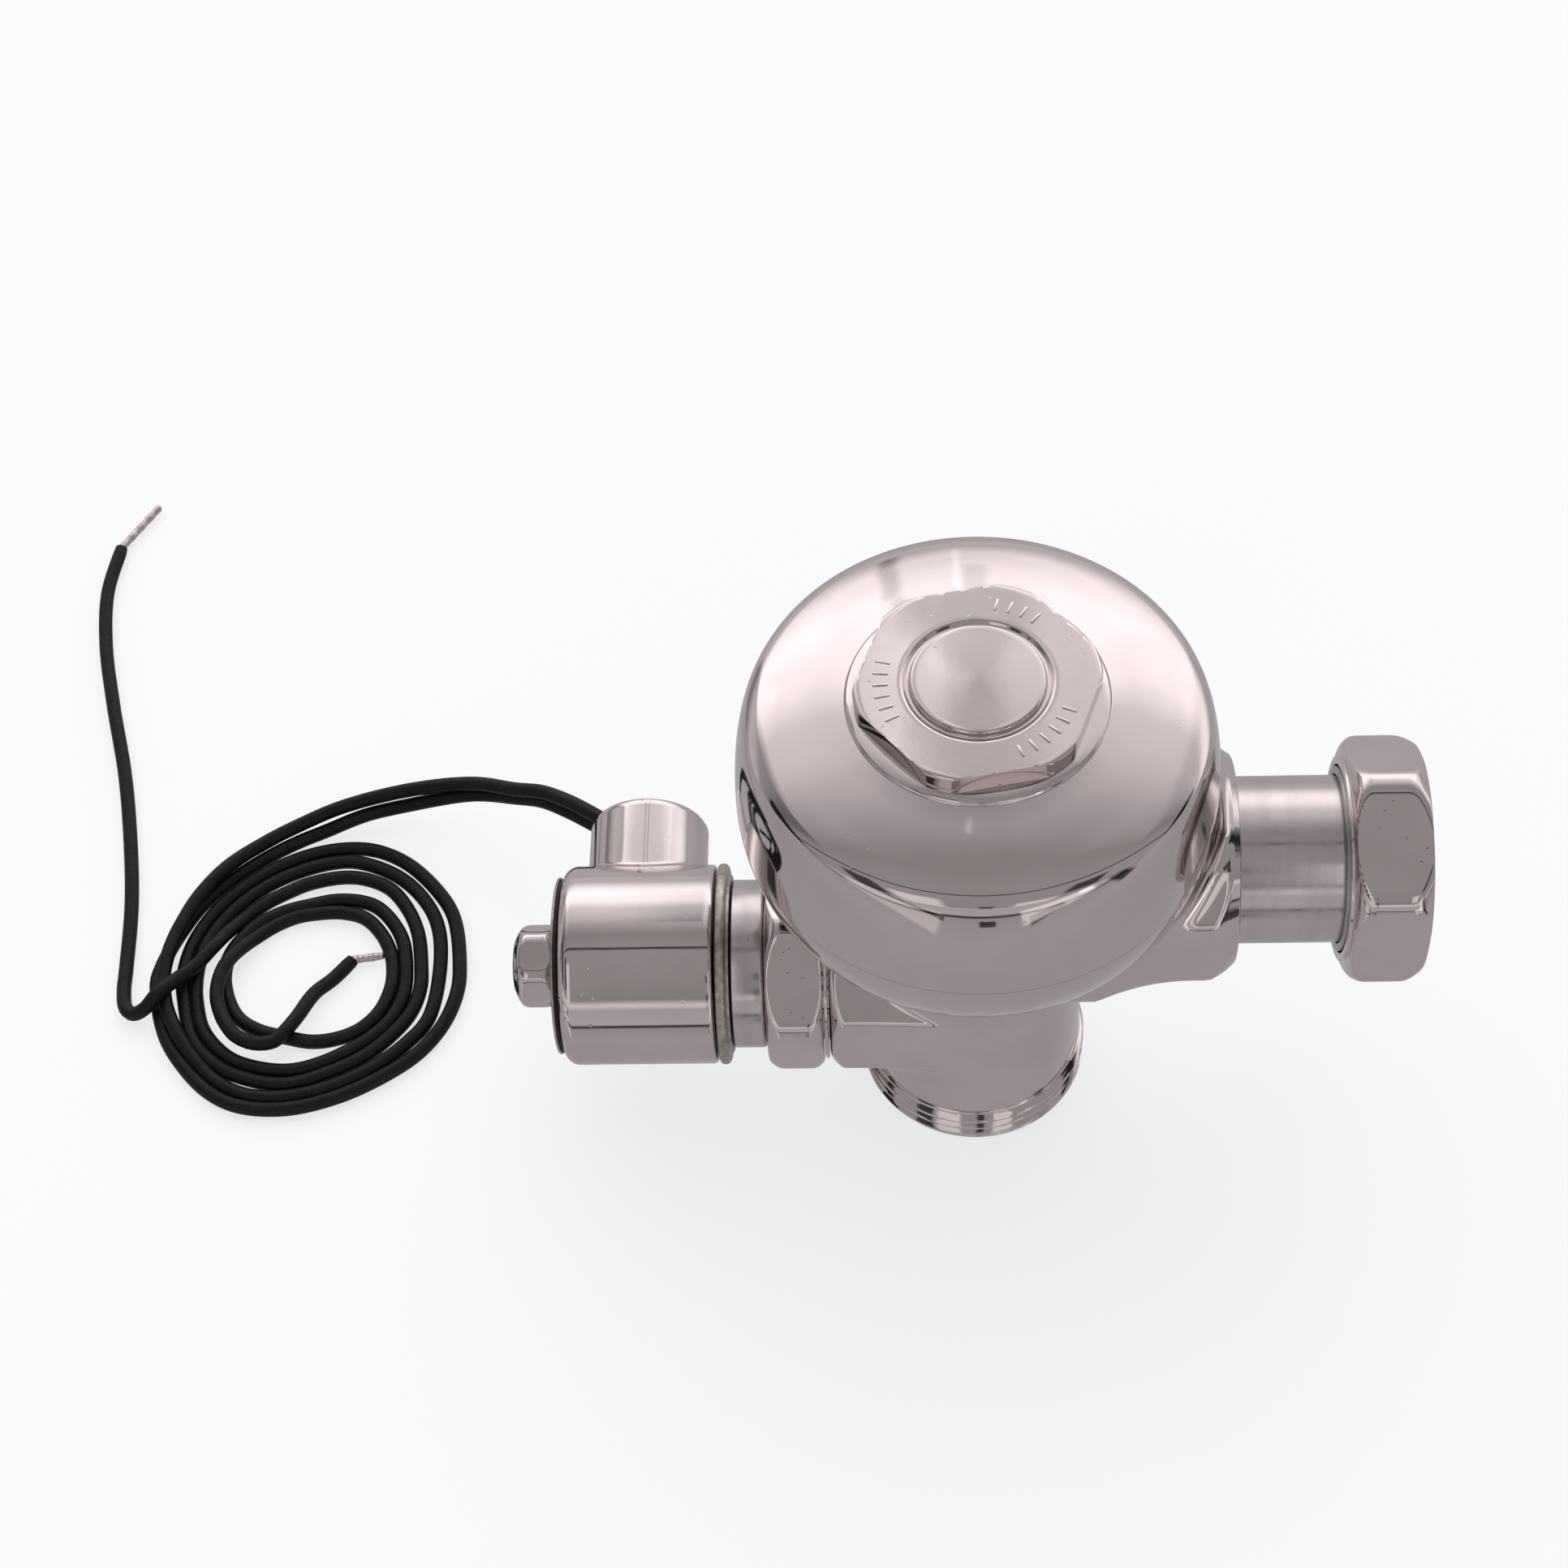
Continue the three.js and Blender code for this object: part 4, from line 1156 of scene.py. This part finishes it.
# Cards and gaps: (lowest pitch, highest pitch, lowest side, highest side), softness, what each adds,
# and how far it leans, in degrees of pitch from side 0 to side 1.
CARDS = [
    ((108, 152, -0.085, -0.035), 0.015, -0.26, 0),
    ((112, 160, 0.0, 0.045), 0.012, -0.3, 0),
    ((100, 168, -0.018, -0.006), 0.006, 0.3, 0),
    ((150, 170, -0.17, -0.13), 0.012, -0.5, 0),
    ((14, 60, -0.46, -0.2), 0.03, 0.5, 0),
    ((20, 48, 0.2, 0.42), 0.02, 0.5, 0),
    ((26, 68, -0.66, -0.5), 0.015, -0.34, 0),
    ((4, 22, 0.0, 0.08), 0.01, -0.42, 0),
    ((36, 44, 0.0, 0.09), 0.006, -0.36, 0),
    ((50, 66, 0.44, 0.62), 0.012, -0.34, 0),
    ((-12, 30, 0.62, 0.7), 0.012, 0.5, 0),
    ((-40, 10, 0.78, 0.86), 0.015, -0.42, 0),
    ((20, 110, -0.93, -0.86), 0.01, -0.5, 0),
    ((60, 120, 0.9, 0.95), 0.01, -0.4, 0),
    ((-46, -22, -0.8, -0.24), 0.02, 0.24, 30),
    ((-40, -34, -0.66, -0.22), 0.01, -0.4, 60),
    ((-30, -24, 0.0, 0.1), 0.008, -0.4, 0),
    ((-42, -22, 0.26, 0.7), 0.012, 0.5, -34),
    ((-50, -40, 0.3, 0.52), 0.01, -0.3, -50),
]


def make_world():
    """A soft studio: a bright bank of light behind, darker overhead and in front, with thin dark gaps."""
    world = bpy.data.worlds.new("studio")
    bpy.context.scene.world = world
    world.use_nodes = True
    tree = world.node_tree
    sky = Sky(tree)
    nodes, links = tree.nodes, tree.links
    background = nodes["Background"]
    split = nodes.new("ShaderNodeSeparateXYZ")
    links.new(nodes.new("ShaderNodeTexCoord").outputs["Generated"], split.inputs[0])
    side = split.outputs["X"]
    front = sky.math("MULTIPLY", split.outputs["Y"], -1)
    radians = sky.math("ARCTAN2", split.outputs["Z"], front)
    pitch = sky.math("MULTIPLY", radians, 180 / math.pi)
    ramp = nodes.new("ShaderNodeValToRGB")
    ramp.color_ramp.elements.remove(ramp.color_ramp.elements[1])
    for i, (angle, bright) in enumerate(SKY):
        at = (angle + 180) / 360
        element = ramp.color_ramp.elements[0] if i == 0 else ramp.color_ramp.elements.new(at)
        element.position = at
        element.color = (bright / 2, bright / 2, bright / 2, 1)
    links.new(sky.math("DIVIDE", sky.math("ADD", pitch, 180), 360), ramp.inputs["Fac"])
    level = sky.math("MULTIPLY", ramp.outputs["Color"], 2)
    # The bright bank behind is dimmer past its left and right ends.
    bank = sky.window(pitch, 90, 185, 12)
    left = sky.step(side, -0.63, -0.57, 0.4, 1.0)
    right = sky.step(side, 0.57, 0.64, 1.0, 0.8)
    dimmed = sky.math("MULTIPLY", level, sky.math("MULTIPLY", left, right))
    shaded = sky.math("MULTIPLY", sky.math("SUBTRACT", dimmed, level), bank)
    level = sky.math("ADD", level, shaded)
    for box, soft, adds, skew in CARDS:
        leaning = sky.math("ADD", pitch, sky.math("MULTIPLY", side, skew))
        added = sky.math("MULTIPLY", sky.patch(leaning, side, box, soft), adds)
        level = sky.math("ADD", level, added)
    level = sky.math("MAXIMUM", level, 0.02)
    tinted = nodes.new("ShaderNodeVectorMath")
    tinted.operation = "SCALE"
    tinted.inputs[0].default_value = SKY_TINT
    links.new(level, tinted.inputs["Scale"])
    links.new(tinted.outputs[0], background.inputs["Color"])
    background.inputs["Strength"].default_value = 1


def make_light():
    """One wide soft light overhead and a little behind, that the shiny parts don't reflect."""
    data = bpy.data.lights.new("overhead", "AREA")
    data.shape = "RECTANGLE"
    data.size = 2.2
    data.size_y = 1.6
    data.energy = LIGHT_ENERGY
    light = linked("overhead", data)
    light.location = LIGHT_PLACE
    light.rotation_euler = LIGHT_PLACE.to_track_quat("Z", "Y").to_euler()
    light.visible_glossy = False


make_floor()
make_world()
make_light()
bpy.context.scene.view_settings.view_transform = "Standard"

boxes = {"cad": cad_bounds, "visual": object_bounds()}
{k: [list(corner) for corner in box] for k, box in boxes.items()}
